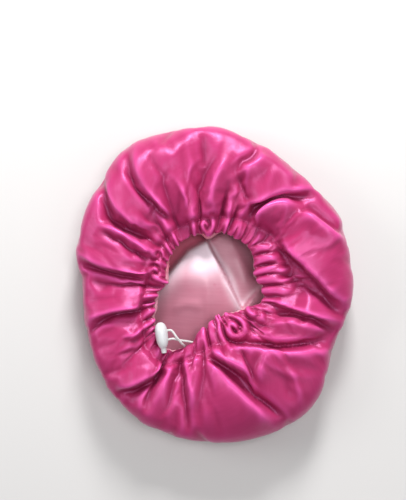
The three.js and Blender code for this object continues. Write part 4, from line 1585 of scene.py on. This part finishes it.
def cloth_material(name, dark, light, valley_painted_shade, crest_painted_light, roughness, bump, rose_painted_shade=None, **finish):
    """Satin in one colour range, with painted shade in its valleys and a painted highlight on its crests.
    """
    material, tree, shader = new_material(name, **finish)
    group = add_node(tree, "ShaderNodeGroup", node_tree=weave)
    flat_place = add_node(tree, "ShaderNodeUVMap", uv_map="flat_cut").outputs["UV"]
    feed(tree, flat_place, group.inputs["Flat Place"])
    feed(tree, own_place(tree), group.inputs["Body Place"])
    bend = math_node(tree, "MULTIPLY", attribute_of(tree, "crest_painted_light"), 2.0)
    # Painted shade in the valleys and a painted highlight on the crests, from the crest attribute.
    painted_shade_in_valley = math_node(tree, "MAXIMUM", math_node(tree, "SUBTRACT", 1.0, bend), 0.0)
    painted_highlight_on_crest = math_node(tree, "MAXIMUM", math_node(tree, "SUBTRACT", bend, 1.0), 0.0)
    colour = mixed(tree, group.outputs["Tone"], dark, light)
    colour = mixed(tree, painted_shade_in_valley, colour, valley_painted_shade)
    colour = mixed(tree, math_node(tree, "POWER", painted_highlight_on_crest, PAINTED_HIGHLIGHT_FOCUS), colour, crest_painted_light)
    # Painted rose shade in the gap at the upper left of the lining.
    if rose_painted_shade:
        colour = mixed(tree, attribute_of(tree, "rose_painted_shade"), colour, rose_painted_shade)
    feed(tree, colour, shader.inputs["Base Color"])
    rough_between(tree, shader, group.outputs["Gloss"], *roughness)
    raised_by(tree, shader, group.outputs["Height"], RELIEF_DEPTH, bump)
    return material


# The satin's valley colour is painted shade and its crest colour a painted highlight.
satin_pink = cloth_material(
    "satin_hot_pink",
    dark=(0.29, 0.015, 0.076),
    light=(0.43, 0.032, 0.128),
    valley_painted_shade=(0.18, 0.005, 0.038),
    crest_painted_light=(0.78, 0.10, 0.38),
    roughness=(0.26, 0.46),
    bump=0.45,
    Sheen_Weight=0.12,
    Sheen_Roughness=0.35,
    Sheen_Tint=(1.0, 0.40, 0.80, 1),
    Specular_Tint=(0.9, 0.36, 0.76, 1),
    Specular_IOR_Level=0.8,
    Anisotropic=0.75,
)
# The lining's valley colour is painted shade, its crest colour a painted highlight and its rose a painted
# rose shade.
lining_pink = cloth_material(
    "lining_pale_pink",
    dark=(0.43, 0.128, 0.192),
    light=(0.61, 0.25, 0.335),
    valley_painted_shade=(0.34, 0.13, 0.17),
    crest_painted_light=(0.84, 0.68, 0.76),
    rose_painted_shade=(0.52, 0.10, 0.17),
    roughness=(0.36, 0.50),
    bump=0.25,
    Sheen_Weight=0.2,
    Sheen_Roughness=0.35,
    Sheen_Tint=(1.0, 0.85, 0.92, 1),
    Specular_Tint=(1.0, 0.92, 0.96, 1),
    Specular_IOR_Level=0.8,
    Anisotropic=0.4,
)
satin_piece.data.materials.append(satin_pink)
lining_piece.data.materials.append(lining_pink)
print("cloth materials", satin_pink.name, lining_pink.name)

# %% [markdown]
# The thread of the stitch line is a little darker than the satin and matt.

# %% Stitch thread
THREAD_DARK = (0.30, 0.006, 0.08)
THREAD_LIGHT = (0.62, 0.05, 0.22)
TWIST_GRAIN = (2600, 2600, 2600)
TWIST_DEPTH = 0.0002
stitch_thread, tree, shader = new_material("thread_pink", Roughness=0.6)
twist = stretched_noise(tree, own_place(tree), TWIST_GRAIN)
feed(tree, mixed(tree, twist, THREAD_DARK, THREAD_LIGHT), shader.inputs["Base Color"])
raised_by(tree, shader, twist, TWIST_DEPTH)
print("thread", len(tree.nodes), "nodes")

# %% [markdown]
# Stitches repeat along a path, which is what Geometry Nodes are for: points are set along the curve
# at one pitch, a small thread loop stands on each, and the instances are made real before the result
# becomes a plain mesh.

# %% Stitch row
STITCH_SIZES = {"Pitch": 2.9, "Stitch Length": 2.2, "Thread Radius": 0.24}  # millimetres
LOOP_SEGMENTS = 8
LOOP_RINGS = 6
stitches = bpy.data.node_groups.new("stitch_row", "GeometryNodeTree")
stitches.interface.new_socket("Path", in_out="INPUT", socket_type="NodeSocketGeometry")
for socket_name in STITCH_SIZES:
    stitches.interface.new_socket(socket_name, in_out="INPUT", socket_type="NodeSocketFloat")
stitches.interface.new_socket("Stitches", in_out="OUTPUT", socket_type="NodeSocketGeometry")
sizes = add_node(stitches, "NodeGroupInput").outputs
set_inputs = {"Curve": sizes["Path"], "Length": sizes["Pitch"]}
set_points = add_node(stitches, "GeometryNodeCurveToPoints", set_inputs, mode="LENGTH").outputs
ball_inputs = {"Segments": LOOP_SEGMENTS, "Rings": LOOP_RINGS, "Radius": 1.0}
ball = add_node(stitches, "GeometryNodeMeshUVSphere", ball_inputs)
half_length = math_node(stitches, "MULTIPLY", sizes["Stitch Length"], 0.5)
loop_inputs = {"X": sizes["Thread Radius"], "Y": sizes["Thread Radius"], "Z": half_length}
loop_size = add_node(stitches, "ShaderNodeCombineXYZ", loop_inputs)
stretch_inputs = {"Geometry": ball.outputs["Mesh"], "Scale": loop_size.outputs["Vector"]}
stretch = add_node(stitches, "GeometryNodeTransform", stretch_inputs)
stand_inputs = {
    "Points": set_points["Points"],
    "Rotation": set_points["Rotation"],
    "Instance": stretch.outputs["Geometry"],
}
stand = add_node(stitches, "GeometryNodeInstanceOnPoints", stand_inputs)
real = add_node(stitches, "GeometryNodeRealizeInstances", {"Geometry": stand.outputs["Instances"]})
wear_inputs = {"Geometry": real.outputs["Geometry"], "Material": stitch_thread}
wear = add_node(stitches, "GeometryNodeSetMaterial", wear_inputs)
add_node(stitches, "NodeGroupOutput", {"Stitches": wear.outputs["Geometry"]})
print("stitch tree", len(stitches.nodes), "nodes")

# %% Lay the stitches
lay_stitches = stitch_path.modifiers.new("stitches", "NODES")
lay_stitches.node_group = stitches
for item in stitches.interface.items_tree:
    if item.name in STITCH_SIZES:
        lay_stitches[item.identifier] = STITCH_SIZES[item.name] * MM
bpy.context.view_layer.update()
stitch_mesh = evaluated_mesh(stitch_path)
stitch_mesh.shade_smooth()
stitch_piece = add_object("casing_stitches", stitch_mesh)
bpy.data.objects.remove(stitch_path)
print("stitch faces", len(stitch_mesh.polygons))

# %% [markdown]
# The elastic is knitted: little V shapes run along it in columns. Two sine waves of the map, one
# along the cord and one round it with a sideways lean, give that relief, and a painted shade darkens
# it slightly between the stitches.

# %% Cord material
KNIT_PITCH = 0.0011
KNIT_COLUMNS = 6
KNIT_LEAN = 1.6
KNIT_CONTRAST = 0.35
KNIT_DEPTH = 0.00025
ELASTIC_GROOVE_PAINTED_SHADE = (0.50, 0.48, 0.48)
ELASTIC_LIGHT = (0.78, 0.77, 0.76)
cord_white, tree, shader = new_material("elastic_white", Roughness=0.75, Sheen_Weight=0.3)
cord_map = add_node(tree, "ShaderNodeUVMap", uv_map="along_cord").outputs["UV"]
cord_parts = add_node(tree, "ShaderNodeSeparateXYZ", {"Vector": cord_map}).outputs
column_turn = math_node(tree, "MULTIPLY", cord_parts["Y"], KNIT_COLUMNS * 2 * np.pi)
column_wave = math_node(tree, "ABSOLUTE", math_node(tree, "SINE", column_turn))
lean = math_node(tree, "MULTIPLY", column_wave, KNIT_LEAN)
run = math_node(tree, "MULTIPLY", cord_parts["X"], 2 * np.pi / KNIT_PITCH)
stitch_wave = math_node(tree, "SINE", math_node(tree, "ADD", run, lean))
knit = math_node(tree, "ADD", math_node(tree, "MULTIPLY", stitch_wave, KNIT_CONTRAST), 0.5)
# The darker colour is painted shade in the knit's grooves.
feed(tree, mixed(tree, knit, ELASTIC_GROOVE_PAINTED_SHADE, ELASTIC_LIGHT), shader.inputs["Base Color"])
raised_by(tree, shader, knit, KNIT_DEPTH, 0.8)
cord_piece.data.materials.append(cord_white)
print("cord material", len(tree.nodes), "nodes")

# %% [markdown]
# The toggle is plain glossy plastic, with faint mottling and fine scuffs in its gloss. The floor is
# matt, with one colour.

# %% Toggle and floor materials
MOTTLE_GRAIN = (300, 300, 300)
SCUFF_GRAIN = (900, 2500, 900)
PLASTIC_DARK = (0.57, 0.575, 0.59)
PLASTIC_LIGHT = (0.65, 0.66, 0.67)
PLASTIC_ROUGHNESS = (0.22, 0.38)
FLOOR_COLOUR = (0.60, 0.59, 0.58, 1)
toggle_white, tree, shader = new_material("plastic_white")
mottle = stretched_noise(tree, own_place(tree), MOTTLE_GRAIN, 3.0)
scuff = stretched_noise(tree, own_place(tree), SCUFF_GRAIN, 4.0)
feed(tree, mixed(tree, mottle, PLASTIC_DARK, PLASTIC_LIGHT), shader.inputs["Base Color"])
rough_between(tree, shader, scuff, *PLASTIC_ROUGHNESS)
toggle_piece.data.materials.clear()
toggle_piece.data.materials.append(toggle_white)
floor_pale, tree, shader = new_material("floor_pale", Base_Color=FLOOR_COLOUR, Roughness=0.7)
floor.data.materials.append(floor_pale)
print("materials", toggle_white.name, floor_pale.name)

# %% [markdown]
# Last, each piece is tied to the imported model: it rides on the root body, and the solid that it
# stands for is hidden. The stitches ride on the root body too.

# %% Tie the pieces to the model
for piece, node, finish in [
    (satin_piece, "outer_satin", "satin_pink"),
    (lining_piece, "lining", "lining_pink"),
    (cord_piece, "drawcord", "cord_white"),
    (toggle_piece, "toggle", "toggle_white"),
]:
    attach(piece, "root")
    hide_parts(node)
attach(stitch_piece, "root")

# %% Sizes
scene_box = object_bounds()
sizes = {"cad": [list(corner) for corner in cad_box], "scene": [list(corner) for corner in scene_box]}
print("scene box", [tuple(round(value, 4) for value in corner) for corner in scene_box])
